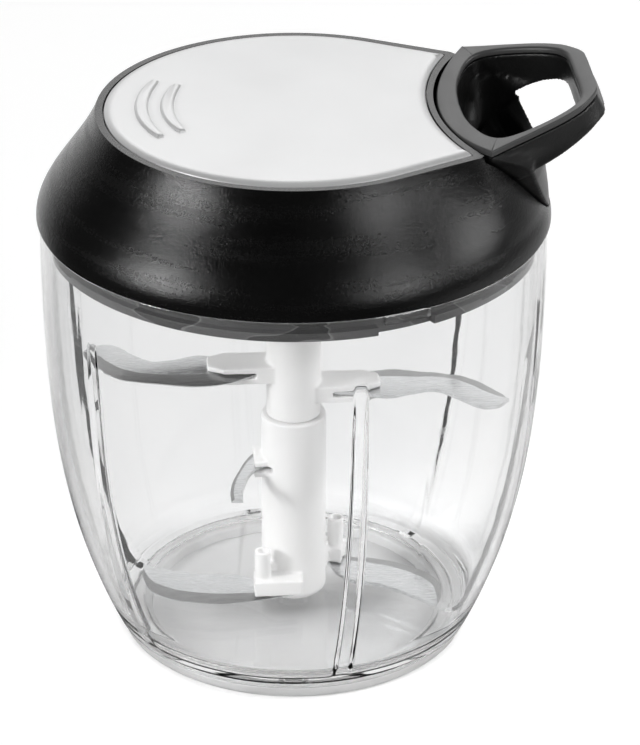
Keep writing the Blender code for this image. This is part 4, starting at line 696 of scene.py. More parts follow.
# Finishes
@dataclass(frozen=True)
class ClearPlastic:
    """Clear moulded plastic of the bowl, with a faint waviness and wiped marks."""

    tint: float = 0.995
    cloud_drop: float = 0.012
    cloud_warm: float = -0.003
    cloud_scale: float = 24.0
    marks_scale: float = 14.0
    roughness: float = 0.012
    wiped: float = 0.02
    scratched: float = 0.04
    ior: float = 1.49
    wave: Pair = (0.0004, 0.10)

    def material(self) -> Material:
        """Builds the material."""
        d = Dress("clear_plastic_bowl")
        marks = d.effect(Effect.MARKS, "Clouds", Scale=self.marks_scale)
        hairs = d.effect(Effect.MARKS, "Hairs", Scale=self.marks_scale)
        rough = d.weighted(self.roughness, (marks, self.wiped), (hairs, self.scratched))
        cloud = d.clouds(self.cloud_scale)
        clouded = grey(self.tint - self.cloud_drop, self.cloud_warm)
        return d.finish(cloud, self.wave,
                        Base_Color=d.blend(cloud, grey(self.tint), clouded), Roughness=rough,
                        IOR=self.ior, Transmission_Weight=1.0)


@dataclass(frozen=True)
class FrostedRing:
    """Milky soft plastic of the foot ring."""

    level: float = 0.90
    cloud_drop: float = 0.05
    cloud_warm: float = 0.004
    cloud_scale: float = 60.0
    roughness: float = 0.42
    clouded: float = 0.12
    grain: float = 2600.0
    relief: Pair = (0.00006, 0.25)
    ior: float = 1.45
    clear: float = 0.62

    def material(self) -> Material:
        """Builds the material."""
        d = Dress("frosted_soft_ring")
        cloud = d.clouds(self.cloud_scale)
        colour = d.blend(cloud, grey(self.level), grey(self.level - self.cloud_drop, self.cloud_warm))
        height = d.effect(Effect.GRAIN, "Height", Scale=self.grain)
        return d.finish(height, self.relief, Base_Color=colour,
                        Roughness=d.weighted(self.roughness, (cloud, self.clouded)),
                        IOR=self.ior, Transmission_Weight=self.clear)


@dataclass(frozen=True)
class MouldedPlastic:
    """Opaque moulded plastic with grain, clouds of tone and wiped marks."""

    name: str
    level: float
    roughness: float
    grain: float
    relief: Pair
    warm: float = 0.0
    specular: float = 0.5
    metallic: float = 0.0
    spread: float = 0.12
    brightest: float = 0.95
    cloud_scale: float = 34.0
    marks_scale: float = 20.0
    tone_shares: Pair = (0.6, 0.4)
    wiped: float = 0.08
    speckled: float = 0.06

    def tones(self) -> Pair:
        """The levels of its darkest and its brightest tone."""
        bright = min(self.level * (1 + self.spread / 2), self.brightest)
        return self.level * (1 - self.spread), bright

    def material(self) -> Material:
        """Builds the material."""
        d = Dress(self.name)
        cloud = d.clouds(self.cloud_scale)
        speckle = d.effect(Effect.GRAIN, "Speckle", Scale=self.grain)
        marks = d.effect(Effect.MARKS, "Clouds", Scale=self.marks_scale)
        share = d.weighted(0, *zip((cloud, speckle), self.tone_shares))
        colour = d.blend(share, *(grey(tone, self.warm) for tone in self.tones()))
        rough = d.weighted(self.roughness, (marks, self.wiped), (speckle, self.speckled))
        height = d.effect(Effect.GRAIN, "Height", Scale=self.grain)
        return d.finish(height, self.relief, Base_Color=colour, Roughness=rough, Metallic=self.metallic,
                        Specular_IOR_Level=self.specular)


@dataclass(frozen=True)
class ContactPlastic:
    """Dark plastic behind the clear wall, with painted darker patches where it touches the wall and the
    wall's reflection is missing, each outlined by a painted light line.
    """

    level: float = 0.060
    cloud_share: float = 1.2
    cloud_scale: float = 90.0
    painted_contact_shade: float = 0.014
    painted_outline_highlight: float = 0.20
    patch_scale: float = 52.0
    patch_level: float = 0.575
    roughness: float = 0.45
    clouded: float = 0.1
    grain: float = 3600.0
    relief: Pair = (0.00004, 0.3)

    def material(self) -> Material:
        """Builds the material."""
        d = Dress("black_plastic_plug")
        patch, outline = (d.effect(Effect.PATCHES, output, Scale=self.patch_scale,
                                   Level=self.patch_level) for output in ("Patch", "Outline"))
        cloud = d.clouds(self.cloud_scale)
        base = d.blend(cloud, grey(self.level), grey(self.level * self.cloud_share))
        # painted reflection: darker where the plug touches the wall, lighter along each patch's outline
        contact_shaded = d.blend(patch, base, grey(self.painted_contact_shade))
        height = d.effect(Effect.GRAIN, "Height", Scale=self.grain)
        return d.finish(height, self.relief, Base_Color=d.blend(outline, contact_shaded, grey(self.painted_outline_highlight)),
                        Roughness=d.weighted(self.roughness, (cloud, self.clouded)))


@dataclass(frozen=True)
class BladeSteel:
    """Rolled stainless sheet, its ground edges marked by the piece's ground attribute."""

    level: float = 0.62
    warm: float = -0.01
    line_share: float = 1.16
    cloud_share: float = 1.08
    ground: float = 0.26
    ground_share: float = 1.5
    lines_scale: float = 180.0
    cloud_scale: float = 70.0
    roughness: float = 0.22
    lined: float = 0.08
    dulled: float = 0.10
    relief: Pair = (0.00002, 0.35)

    def material(self) -> Material:
        """Builds the material."""
        d = Dress("bright_steel_blades")
        lines = d.effect(Effect.BRUSHED, "Mask", Scale=self.lines_scale)
        relief = d.effect(Effect.BRUSHED, "Height", Scale=self.lines_scale)
        cloud = d.clouds(self.cloud_scale)
        bright = d.blend(lines, grey(self.level, self.warm),
                         grey(self.level * self.line_share, self.warm))
        bright = d.blend(cloud, bright, grey(self.level * self.cloud_share, self.warm))
        ground = d.out("ShaderNodeAttribute", output="Fac", attribute_name="ground")
        dull = d.blend(lines, grey(self.ground), grey(self.ground * self.ground_share))
        rough = d.weighted(self.roughness, (lines, self.lined), (ground, self.dulled))
        return d.finish(relief, self.relief, Metallic=1.0,
                        Base_Color=d.blend(ground, bright, dull), Roughness=rough)


@dataclass(frozen=True)
class TurnedSteel:
    """Turned or plated steel of pins, screws, guide and spring."""

    name: str = "plated_steel"
    level: float = 0.55
    roughness: float = 0.26
    warm: float = 0.01
    cloud_share: float = 1.2
    cloud_warm: float = 0.004
    cloud_scale: float = 260.0
    hairs_scale: float = 90.0
    lines_scale: float = 420.0
    clouded: float = 0.08
    scratched: float = 0.2
    relief: Pair = (0.00002, 0.25)

    def material(self) -> Material:
        """Builds the material."""
        d = Dress(self.name)
        cloud = d.clouds(self.cloud_scale)
        hairs = d.effect(Effect.MARKS, "Hairs", Scale=self.hairs_scale)
        colour = d.blend(cloud, grey(self.level, self.warm),
                         grey(self.level * self.cloud_share, self.cloud_warm))
        rough = d.weighted(self.roughness, (cloud, self.clouded), (hairs, self.scratched))
        lines = d.effect(Effect.BRUSHED, "Height", Scale=self.lines_scale)
        return d.finish(lines, self.relief, Metallic=1.0, Base_Color=colour, Roughness=rough)


@dataclass(frozen=True)
class SatinPlate(MouldedPlastic):
    """Satin silver plate with a very fine blasted surface."""

    tone_span: Pair = (0.955, 1.03)

    def tones(self) -> Pair:
        """The levels of its darkest and its brightest tone."""
        dark, bright = self.tone_span
        return self.level * dark, self.level * bright


@dataclass(frozen=True)
class BraidedCord:
    """White braided cord, its strands crossing by the piece's UV map, with painted shade in the gaps
    between strands.
    """

    level: float = 0.78
    warm: float = 0.006
    gap_shade_share: float = 0.72
    gap_shade_warm: float = 0.01
    slant: float = 0.62
    strands: float = 1.6
    uneven: float = 0.4
    roughness: float = 0.85
    worn: float = -0.1
    relief: Pair = (0.00015, 0.7)

    def material(self) -> Material:
        """Builds the material."""
        d = Dress("white_cord_braid")
        place = d.out("ShaderNodeUVMap", output="UV", uv_map="UVMap")
        rows = []
        for slant in (self.slant, -self.slant):
            turned = d.out("ShaderNodeMapping", {"Vector": place, "Rotation": (0, 0, slant)})
            rows.append(d.out("ShaderNodeTexWave", {
                "Vector": turned, "Scale": self.strands, "Distortion": self.uneven}, "Fac"))
        weave = d.math("MAXIMUM", *rows)
        # painted shade: the gaps between the strands are coloured darker than the strands
        colour = d.blend(weave, grey(self.level * self.gap_shade_share, self.gap_shade_warm),
                         grey(self.level, self.warm))
        return d.finish(weave, self.relief, Base_Color=colour,
                        Roughness=d.weighted(self.roughness, (weave, self.worn)))


class Finishes:
    """Every finish of the chopper, each built once."""

    def __init__(self) -> None:
        """Builds the materials."""
        self.clear = ClearPlastic().material()
        self.ring = FrostedRing().material()
        self.plug = ContactPlastic().material()
        self.blades = BladeSteel().material()
        self.steel = TurnedSteel().material()
        self.spring = TurnedSteel("spring_steel", level=0.34, roughness=0.3).material()
        self.cord = BraidedCord().material()
        self.plate = SatinPlate(
            "satin_plate_top", level=0.68, roughness=0.34, grain=5200.0,
            relief=(0.00002, 0.22), warm=-0.003, metallic=0.35, cloud_scale=22.0,
            marks_scale=16.0, tone_shares=(0.5, 0.5), wiped=0.06, speckled=0.05).material()
        self.white = MouldedPlastic(
            "white_plastic_shaft", level=0.90, roughness=0.30, grain=2200.0,
            relief=(0.00002, 0.15), warm=0.004, specular=0.45, spread=0.05).material()
        self.dome = MouldedPlastic(
            "black_plastic_dome", level=0.004, roughness=0.19, grain=1300.0,
            relief=(0.00008, 0.75), specular=0.45, spread=0.5).material()
        self.handle = MouldedPlastic(
            "black_plastic_handle", level=0.008, roughness=0.30, grain=1500.0,
            relief=(0.00008, 0.6), specular=0.42, spread=0.5).material()
        # painted sheen: the cap is the handle's black plastic, made lighter to stand in for the
        # reflection on its flat top
        self.cap = MouldedPlastic(
            "black_plastic_cap_painted_sheen", level=0.060, roughness=0.36, grain=3600.0,
            relief=(0.00003, 0.35)).material()
        self.seal = MouldedPlastic(
            "grey_seal_ring", level=0.11, roughness=0.55, grain=2600.0,
            relief=(0.00004, 0.3), specular=0.4, spread=0.1).material()
        self.reel = MouldedPlastic(
            "white_plastic_reel", level=0.74, roughness=0.34, grain=2200.0,
            relief=(0.00003, 0.2), warm=0.006, spread=0.06).material()
        self.bearing = MouldedPlastic(
            "bearing_plastic_bush", level=0.52, roughness=0.42, grain=3000.0,
            relief=(0.00003, 0.25), warm=0.06, specular=0.4, spread=0.1).material()


# Bowl
@dataclass
class BowlUnit:
    """Clear bowl with ribs and bayonet lugs inside, its foot ring and its centre pin."""

    finishes: Finishes
    bottom: float = 3.3
    rim: float = 115.0
    base_radius: float = 46.1
    rim_radius: float = 63.3
    swell_power: float = 3.1
    wall: float = 2.6
    foot_edge: float = 0.7
    lip_height: float = 0.7
    lip_power: float = 0.6
    wall_span: Pair = (1.2, 0.8)
    wall_rows: int = 47
    wall_row_power: float = 1.25
    floor_radius: float = 39.5
    floor_top: float = 6.3
    floor_rows: Row = (34.0, 26.0, 18.0, 10.0)
    corner_top: float = 12.5
    groove: Row = (39.1, 42.4, 4.8)
    boss: Row = (4.0, 9.3, 2.3, 4.7)
    boss_foot: Pairs = ((0.8, 0.0), (0.2, 0.2), (0.0, 0.9))
    boss_edge: float = 0.4
    bore_edge: float = 0.3
    rib_angles: Row = (38.5, 101.0, 160.0, 214.0, 281.0, 341.0)
    rib_depth: float = 1.5
    rib_half_width: float = 1.0
    rib_flanks: Pair = (1.9, 0.9)
    rib_top: float = 98.5
    rib_fade: float = 22.0
    rib_lines: tuple[float, int] = (3.6, 37)
    lug_width: float = 11.0
    lug_span: Pair = (111.7, 113.3)
    lug_depth: float = 1.9
    lug_flanks: Pair = (0.25, 0.12)
    lug_edge: float = 0.15
    hair: float = 0.01
    closest_lines: float = 0.04
    ring_line: Pairs = (
        (37.5, 0), (44.2, 0), (45, 0.8), (43.6, 3.0), (42, 3.0), (42, 4.5), (39.5, 4.5),
        (39.5, 3.0), (37.5, 3.0))
    ring_edge: float = 0.5
    pin_line: Pairs = (
        (0, 5.0), (1.7, 5.0), (2, 5.3), (2, 32.4), (1.86, 33.0), (1.5, 33.6), (0.9, 33.9), (0, 34.0))

    def outer(self, height: float) -> float:
        """Outer radius of the wall at a height."""
        share = held((height - self.bottom) / (self.rim - self.bottom))
        swell = self.rim_radius - self.base_radius
        return self.base_radius + swell * (1 - (1 - share) ** self.swell_power)

    def inner(self, height: float) -> float:
        """Inner radius of the wall at a height."""
        return self.outer(height) - self.wall

    def angles(self) -> list[float]:
        """Directions of the mesh's lines, closer together at the ribs and lugs."""
        found = spread(0, 360, 181)[:-1]
        reach, lines = self.rib_lines
        for angle in self.rib_angles:
            found += spread(angle - reach, angle + reach, lines)
        inside, outside = self.lug_flanks
        for angle in LUG_ANGLES:
            for side in (-1, 1):
                edge = angle + side * self.lug_width / 2
                found += [edge - inside * side, edge, edge + outside * side]
        found = sorted(a % 360 for a in found)
        kept = [found[0]]
        kept += [b for a, b in zip(found, found[1:]) if b - a > self.closest_lines]
        return kept

    def outside(self) -> list[Pair]:
        """The section under the foot, up the outer wall and over the rim."""
        bottom, edge = self.bottom, self.foot_edge
        inner, outer, top = self.groove
        line = [(0.0, bottom), (inner * 0.5, bottom), (inner, bottom), (inner, top),
                (outer, top), (outer, bottom)]
        line += [(self.base_radius - edge + edge * math.sin(turn),
                  bottom + edge - edge * math.cos(turn)) for turn in sweep(90, 4)]
        start, stop = self.wall_span
        tall, last = self.rim - (start + stop) - bottom, self.wall_rows - 1
        for k in range(self.wall_rows):
            z = bottom + start + tall * (k / last) ** self.wall_row_power
            line.append((self.outer(z), z))
        middle, lip = self.outer(self.rim) - self.wall / 2, self.lip_height
        for turn in sweep(180, 8):
            across = math.copysign(abs(math.cos(turn)) ** self.lip_power, math.cos(turn))
            line.append((middle + self.wall / 2 * across,
                         self.rim - lip + lip * math.sin(turn) ** self.lip_power))
        return line

    def inside(self) -> list[Pair]:
        """The section of the inner wall that carries the ribs, down to the floor."""
        line = [(self.inner(z), z) for z in spread(self.lug_span[0] - 2, self.corner_top, 58)]
        wide = self.inner(self.corner_top) - self.floor_radius
        tall = self.corner_top - self.floor_top
        return line + [(self.floor_radius + wide * math.cos(turn),
                        self.corner_top - tall * math.sin(turn)) for turn in sweep(90, 16)[1:]]

    def floor(self) -> list[Pair]:
        """The section of the floor, the boss and its bore."""
        radius, top, bore, bore_foot = self.boss
        line = [(r, self.floor_top) for r in self.floor_rows]
        line += [(radius + out, self.floor_top + up) for out, up in self.boss_foot]
        return line + [
            (radius, top - self.boss_edge), (radius - self.boss_edge, top),
            (bore + self.bore_edge, top), (bore, top - self.bore_edge), (bore, bore_foot),
            (0.0, bore_foot)]

    def profile(self) -> list[tuple[float, float, int]]:
        """The bowl's section: radius, height, and 1 on the inner wall or 2 at the lugs."""
        low, high = self.lug_span
        lugs = (high - self.lug_edge, (low + high) / 2, low + self.lug_edge)
        return [*((r, z, 0) for r, z in self.outside()), (self.inner(high), high + self.hair, 0),
                *((self.inner(z), z, 2) for z in lugs), (self.inner(low), low - self.hair, 0),
                *((r, z, 1) for r, z in self.inside()), *((r, z, 0) for r, z in self.floor())]

    def shell(self) -> Shape:
        """Makes the turned bowl with its lugs, and marks where the ribs rise."""
        angles = self.angles()
        nearest = [[min(abs((angle - a + 180) % 360 - 180) for a in places)
                    for places in (self.rib_angles, LUG_ANGLES)] for angle in angles]
        points: list[Point] = []
        arcs: list[float] = []
        place: list[float] = []
        rings = []
        for radius, height, kind in self.profile():
            if radius == 0:
                rings.append([len(points)] * len(angles))
                points.append((0, 0, height))
                arcs.append(FAR_OFF)
                place.append(0.0)
                continue
            rings.append(list(range(len(points), len(points) + len(angles))))
            for angle, (rib, lug) in zip(angles, nearest):
                raised = kind == 2 and lug <= self.lug_width / 2 + self.hair
                points.append((*polar(radius - self.lug_depth * raised, angle), height))
                arcs.append(math.radians(rib) * radius)
                place.append(float(kind == 1))
        mesh = bpy.data.meshes.new("bowl")
        mesh.from_pydata(points, [], ring_faces(rings))
        for name, values in (("rib_arc", arcs), ("rib_place", place)):
            mesh.attributes.new(name, "FLOAT", "POINT").data.foreach_set("value", values)
        return Shape(mesh)

    def ribbed(self, shell: Shape) -> Shape:
        """Raises the ribs out of the inner wall by a node tree.

        Args:
            shell: the bowl without ribs.

        Returns:
            The bowl with ribs.
        """
        foot_flank, top_flank = self.rib_flanks
        sizes = {"Rib Depth": self.rib_depth, "Half Width": self.rib_half_width,
                 "Top Flank": top_flank, "Foot Flank": foot_flank, "Top Height": self.rib_top,
                 "Fade Height": self.rib_fade, "Floor Height": self.corner_top}
        n, size = start_tree("wall_ribs", sizes)
        spot = n.out("GeometryNodeInputPosition")
        z = n.out("ShaderNodeSeparateXYZ", {0: spot}, "Z")
        arc, place = (n.out("GeometryNodeInputNamedAttribute", {"Name": name}, "Attribute",
                            data_type="FLOAT") for name in ("rib_arc", "rib_place"))
        flank = n.remap(z, (size["Floor Height"], size["Top Height"]),
                        (size["Foot Flank"], size["Top Flank"]))
        left = n.math("SUBTRACT", n.math("ADD", size["Half Width"], flank), arc)
        rise = n.smooth(left, (0, flank))
        above = n.math("SUBTRACT", size["Top Height"], z)
        fade = n.smooth(above, (0, size["Fade Height"]))
        depth = n.math("MULTIPLY", size["Rib Depth"], n.math("MULTIPLY", rise, fade))
        depth = n.math("MULTIPLY", depth, place)
        flat = n.out("ShaderNodeVectorMath", {0: spot, 1: (1, 1, 0)}, operation="MULTIPLY")
        inward = n.out("ShaderNodeVectorMath", {0: flat}, operation="NORMALIZE")
        shift = n.out("ShaderNodeVectorMath", {
            0: inward, "Scale": n.math("MULTIPLY", depth, -1.0)}, operation="SCALE")
        moved = n.out("GeometryNodeSetPosition", {"Geometry": size["Geometry"], "Offset": shift})
        end_tree(n, moved, size["Material"])
        return shell.with_modifier("NODES", {**sizes, "Material": self.finishes.clear},
                                   node_group=n.tree)

    def build(self) -> None:
        """Builds and dresses the bowl, the foot ring and the pin."""
        f = self.finishes
        wall = self.ribbed(self.shell()).tidied().piece(
            "bowl_clear_wall", f.clear, Body.BOWL, Slot.CLEAR, ["bowl"], 38)
        wall.visible_shadow = False
        Shape.lathe(rounded(self.ring_line, self.ring_edge), 200).piece(
            "foot_ring_soft", f.ring, Body.BOWL, Slot.SOFT, ["foot_ring"])
        Shape.lathe(self.pin_line, 48).piece(
            "centre_pin_turned", f.steel, Body.BOWL, Slot.STEEL, ["pivot_pin"])


# Blades
@dataclass(frozen=True)
class BladeForm:
    """A flat blade: its cutting and its back edge in shares of its reach, and its grinding."""

    reach: float
    cut_shares: Pairs
    back_shares: Pairs
    ground: float
    thickness: float = 1.0
    steps: int = 14
    plain_root: int = 8
    plain_tip: int = 30
    ground_slope: Pair = (0.3, 0.998)

    def edge(self, shares: Sequence[Point]) -> list[Row]:
        """One of the blade's edges as a smooth line."""
        return smooth_line([(x * self.reach, y * self.reach) for x, y in shares], self.steps)

    def shape(self, bottom: float, teeth: float = 0.0) -> Shape:
        """Makes the blade.

        Args:
            bottom: the height of its lower face.
            teeth: the depth of the fine teeth at its cutting edge.

        Returns:
            The blade, with its ground faces marked.
        """
        cut, back = self.edge(self.cut_shares), self.edge(self.back_shares)
        inner = []
        for i, (c, k) in enumerate(zip(cut, back)):
            c, k = Vector(c), Vector(k)
            if teeth and self.plain_root < i < len(cut) - self.plain_tip:
                cut[i] = tuple(c + (k - c).normalized() * teeth * (i % 2))
            inner.append(tuple(c + (k - c) * self.ground))
        low, high = cut + back[::-1], inner + back[::-1]
        edge, top = bottom + self.thickness / 4, bottom + self.thickness
        blade = Shape.loft([[(x, y, z) for x, y in line]
                            for line, z in ((low, bottom), (low, edge), (high, top))])
        mesh = blade.mesh
        flat, steep = self.ground_slope
        marks = [float(flat < face.normal.z < steep) for face in mesh.polygons]
        mesh.attributes.new("ground", "FLOAT", "FACE").data.foreach_set("value", marks)
        return blade


UPPER_BLADE = BladeForm(54.0, (
    (0.1852, 0.0593), (0.3074, 0.1370), (0.4722, 0.1611), (0.6352, 0.1259), (0.7722, 0.0852),
    (0.8611, 0.0296), (0.9259, -0.0593), (0.9815, -0.1444), (1.0000, -0.2037)), (
    (0.1852, -0.0667), (0.3333, -0.0963), (0.4444, -0.1259), (0.5556, -0.0926),
    (0.6667, -0.0815), (0.7648, -0.1667), (0.8519, -0.2593), (0.9352, -0.2630),
    (1.0000, -0.2037)), 0.34)
LOWER_BLADE = BladeForm(40.0, (
    (0.0125, -0.2550), (-0.1425, -0.2900), (-0.2925, -0.3200), (-0.4950, -0.3400),
    (-0.6750, -0.3075), (-0.8400, -0.2450), (-0.9500, -0.1400), (-0.9925, 0.0200), (-0.9900, 0.1250)), (
    (-0.0250, -0.2250), (-0.1500, -0.2200), (-0.2725, -0.0750), (-0.4000, -0.0150),
    (-0.5875, 0.0000), (-0.7125, 0.0350), (-0.8200, 0.0750), (-0.9150, 0.1150),
    (-0.9900, 0.1500)), 0.28)
MIDDLE_BLADE = BladeForm(26.8, (
    (-0.2239, 0.1940), (-0.3657, 0.1716), (-0.4552, 0.0373), (-0.5336, -0.1679),
    (-0.6082, -0.3881), (-0.6418, -0.5970), (-0.6381, -0.7649)), (
    (-0.2239, -0.0746), (-0.3172, -0.1306), (-0.3918, -0.2052), (-0.4478, -0.3172),
    (-0.4925, -0.4664), (-0.5224, -0.6157), (-0.5299, -0.7761)), 0.28)


@dataclass
class BladeUnit:
    """White blade shaft in two lengths, with five steel blades at three levels."""

    finishes: Finishes
    lower_radius: float = 8.35
    lower_span: Pair = (7.1, 58.5)
    foot_rounding: float = 2.2
    upper_radius: float = 7.0
    socket_radius: float = 9.2
    socket_span: Pair = (88.0, 106.0)
    socket_cone: float = 2.0
    socket_flats: float = 10.8
    socket_floor: float = 4.0
    spigot: Row = (5.0, 49.8, 58.8)
    levels: Pairs = ((71.0, 180.0), (65.0, 0.0))
    lower_angles: Pair = (0.0, 160.0)
    lower_blade: float = 10.3
    middle_blade: float = 44.0
    teeth: float = 0.12
    arm_reach: float = 22.0
    arm_half_width: float = 4.8
    arm_thickness: float = 4.4
    arm_lip: float = 1.4
    arm_shares: Pairs = (
        (0, 1), (0.82, 1), (1, 0.55), (1, -0.55), (0.82, -1), (0, -1))
    arm_slot: float = 9.7
    block: tuple[Point, Point, float] = ((-10.95, 1.55), (-12.8, -6.6), 4.2)
    web: tuple[Point, Point, float] = ((-7.67, 1.55), (-6.9, 0), 6.3)
    post: Row = (2.1, 15.5, 23.6)
    dimple: Row = (1.3, 22.0, 30.0)
    post_centre: Pair = (-8.7, -9.7)
    hub_reach: float = 10.44
    hub_slot: tuple[Point, Point] = ((-17, -5.7), (-17, 17))
    root_slot: tuple[Point, Point] = ((-34, 17), (-27, -8.4))
    bores: Pairs = ((4.7, 10.5), (2.6, 37.5))
    bore_start: float = 4.0
    gap: float = 0.3
    net: float = 0.30
    passes: int = 3

    def slot_span(self, height: float) -> Pair:
        """The lowest and highest z of the slot for a blade."""
        return height - self.gap, height + UPPER_BLADE.thickness + self.gap

    def arm_span(self, height: float) -> Pair:
        """The lowest and highest z of what holds a blade's root."""
        low = height - self.arm_lip - self.gap
        return low, low + self.arm_thickness

    def arm(self, height: float, angle: float) -> tuple[Shape, Shape]:
        """An arm that holds an upper blade's root, and the slot in it."""
        line = [(x * self.arm_reach, y * self.arm_half_width) for x, y in self.arm_shares]
        arm = Shape.prism(line, *self.arm_span(height)).turned(angle)
        side = 2 * self.arm_half_width
        slot = Shape.box((self.arm_slot, 2 * self.arm_reach), (-side, side),
                         self.slot_span(height)).turned(angle)
        return arm, slot

    def upper_shaft(self) -> Shape:
        """Makes the upper tube with its hexagon socket and both arms."""
        radius, foot, joint = self.spigot
        low, high = self.socket_span
        shaft = Shape.lathe([
            (0, foot), (radius, foot), (radius, joint), (self.upper_radius, joint),
            (self.upper_radius, low), (self.socket_radius, low + self.socket_cone),
            (self.socket_radius, high), (0, high)], 72)
        arms, slots = zip(*(self.arm(*level) for level in self.levels))
        shaft.joined(*arms).cut(*slots)
        corner = self.socket_flats / 2 / math.cos(math.radians(30))
        hexagon = [polar(corner, 30 + 60 * k) for k in range(6)]
        shaft.cut(Shape.prism(hexagon, low + self.socket_floor, high + self.socket_floor))
        return shaft.softened(self.net, self.passes)

    def carrier(self, angle: float) -> tuple[list[Shape], Shape]:
        """The web, block and post above a lower blade, and the dimple in the post."""
        base = self.slot_span(self.lower_blade)[1]
        parts = [Shape.box(x, y, (base, base + tall)) for x, y, tall in (self.web, self.block)]
        parts.append(Shape.rod(*self.post, 32, self.post_centre))
        dimple = Shape.rod(*self.dimple, 32, self.post_centre)
        return [part.turned(angle) for part in parts], dimple.turned(angle)

    def lower_shaft(self) -> Shape:
        """Makes the lower tube with both carriers and the middle blade's hub."""
        low, high = self.lower_span
        radius, rounding = self.lower_radius, self.foot_rounding
        line: list[Point] = [(0, low), (radius - rounding, low)]
        line += [(radius - rounding * (1 - math.sin(turn)), low + rounding * (1 - math.cos(turn)))
                 for turn in sweep(90, 8)[1:]]
        inner, foot, _ = self.spigot
        line += [(radius, high), (inner + self.gap, high), (inner + self.gap, foot - self.gap),
                 (0, foot - self.gap)]
        shaft = Shape.lathe(line, 72)
        dimples = []
        for angle in self.lower_angles:
            parts, dimple = self.carrier(angle)
            shaft.joined(*parts)
            dimples.append(dimple)
        hub = Shape.box((-self.hub_reach, 0), (-self.arm_half_width, self.arm_half_width),
                        self.arm_span(self.middle_blade))
        slot = Shape.box(*self.hub_slot, self.slot_span(self.middle_blade))
        shaft.joined(hub).cut(*dimples, slot)
        for angle in self.lower_angles:
            under = Shape.box(*self.root_slot, self.slot_span(self.lower_blade))
            shaft.cut(under.turned(angle))
        bores = [Shape.rod(wide, self.bore_start, end, 48) for wide, end in self.bores]
        return shaft.cut(*bores).softened(self.net, self.passes)

    def build(self) -> None:
        """Builds and dresses the shaft and the blades."""
        for name, shaft in (("lower", self.lower_shaft), ("upper", self.upper_shaft)):
            shaft().piece(f"blade_shaft_{name}_moulded", self.finishes.white, Body.BLADES,
                          Slot.WHITE, [f"blade_shaft_{name}"], 50)
        blades = {}
        for side, (height, angle) in zip(("left", "right"), self.levels):
            blades[f"upper_blade_{side}"] = UPPER_BLADE.shape(height, self.teeth).turned(angle)
        for side, angle in zip(("left", "right"), self.lower_angles):
            blades[f"lower_blade_{side}"] = LOWER_BLADE.shape(self.lower_blade).turned(angle)
        blades["middle_blade"] = MIDDLE_BLADE.shape(self.middle_blade)
        for name, blade in blades.items():
            blade.piece(f"{name}_ground", self.finishes.blades, Body.BLADES, Slot.STEEL, [name])


# Lid
def arc_x(y: float, corner: Point, arc: float) -> float:
    """The x of an arc through two corners and its own middle."""
    rise = corner[0] - arc
    radius = (corner[1] ** 2 + rise ** 2) / (2 * rise)
    return arc + radius - math.sqrt(max(radius ** 2 - y ** 2, 0))


def corner_growth(degrees: float, corner: Point, radius: float) -> float:
    """How far straight flanks toward two corners stand out of a circle."""
    angle = abs((degrees + 180) % 360 - 180)
    corner_at = math.degrees(math.atan2(corner[1], corner[0]))
    touch = corner_at + math.degrees(math.acos(radius / math.hypot(*corner)))
    if angle >= touch:
        return 0.0
    angle = max(angle, corner_at)
    return radius / math.cos(math.radians(touch - angle)) - radius


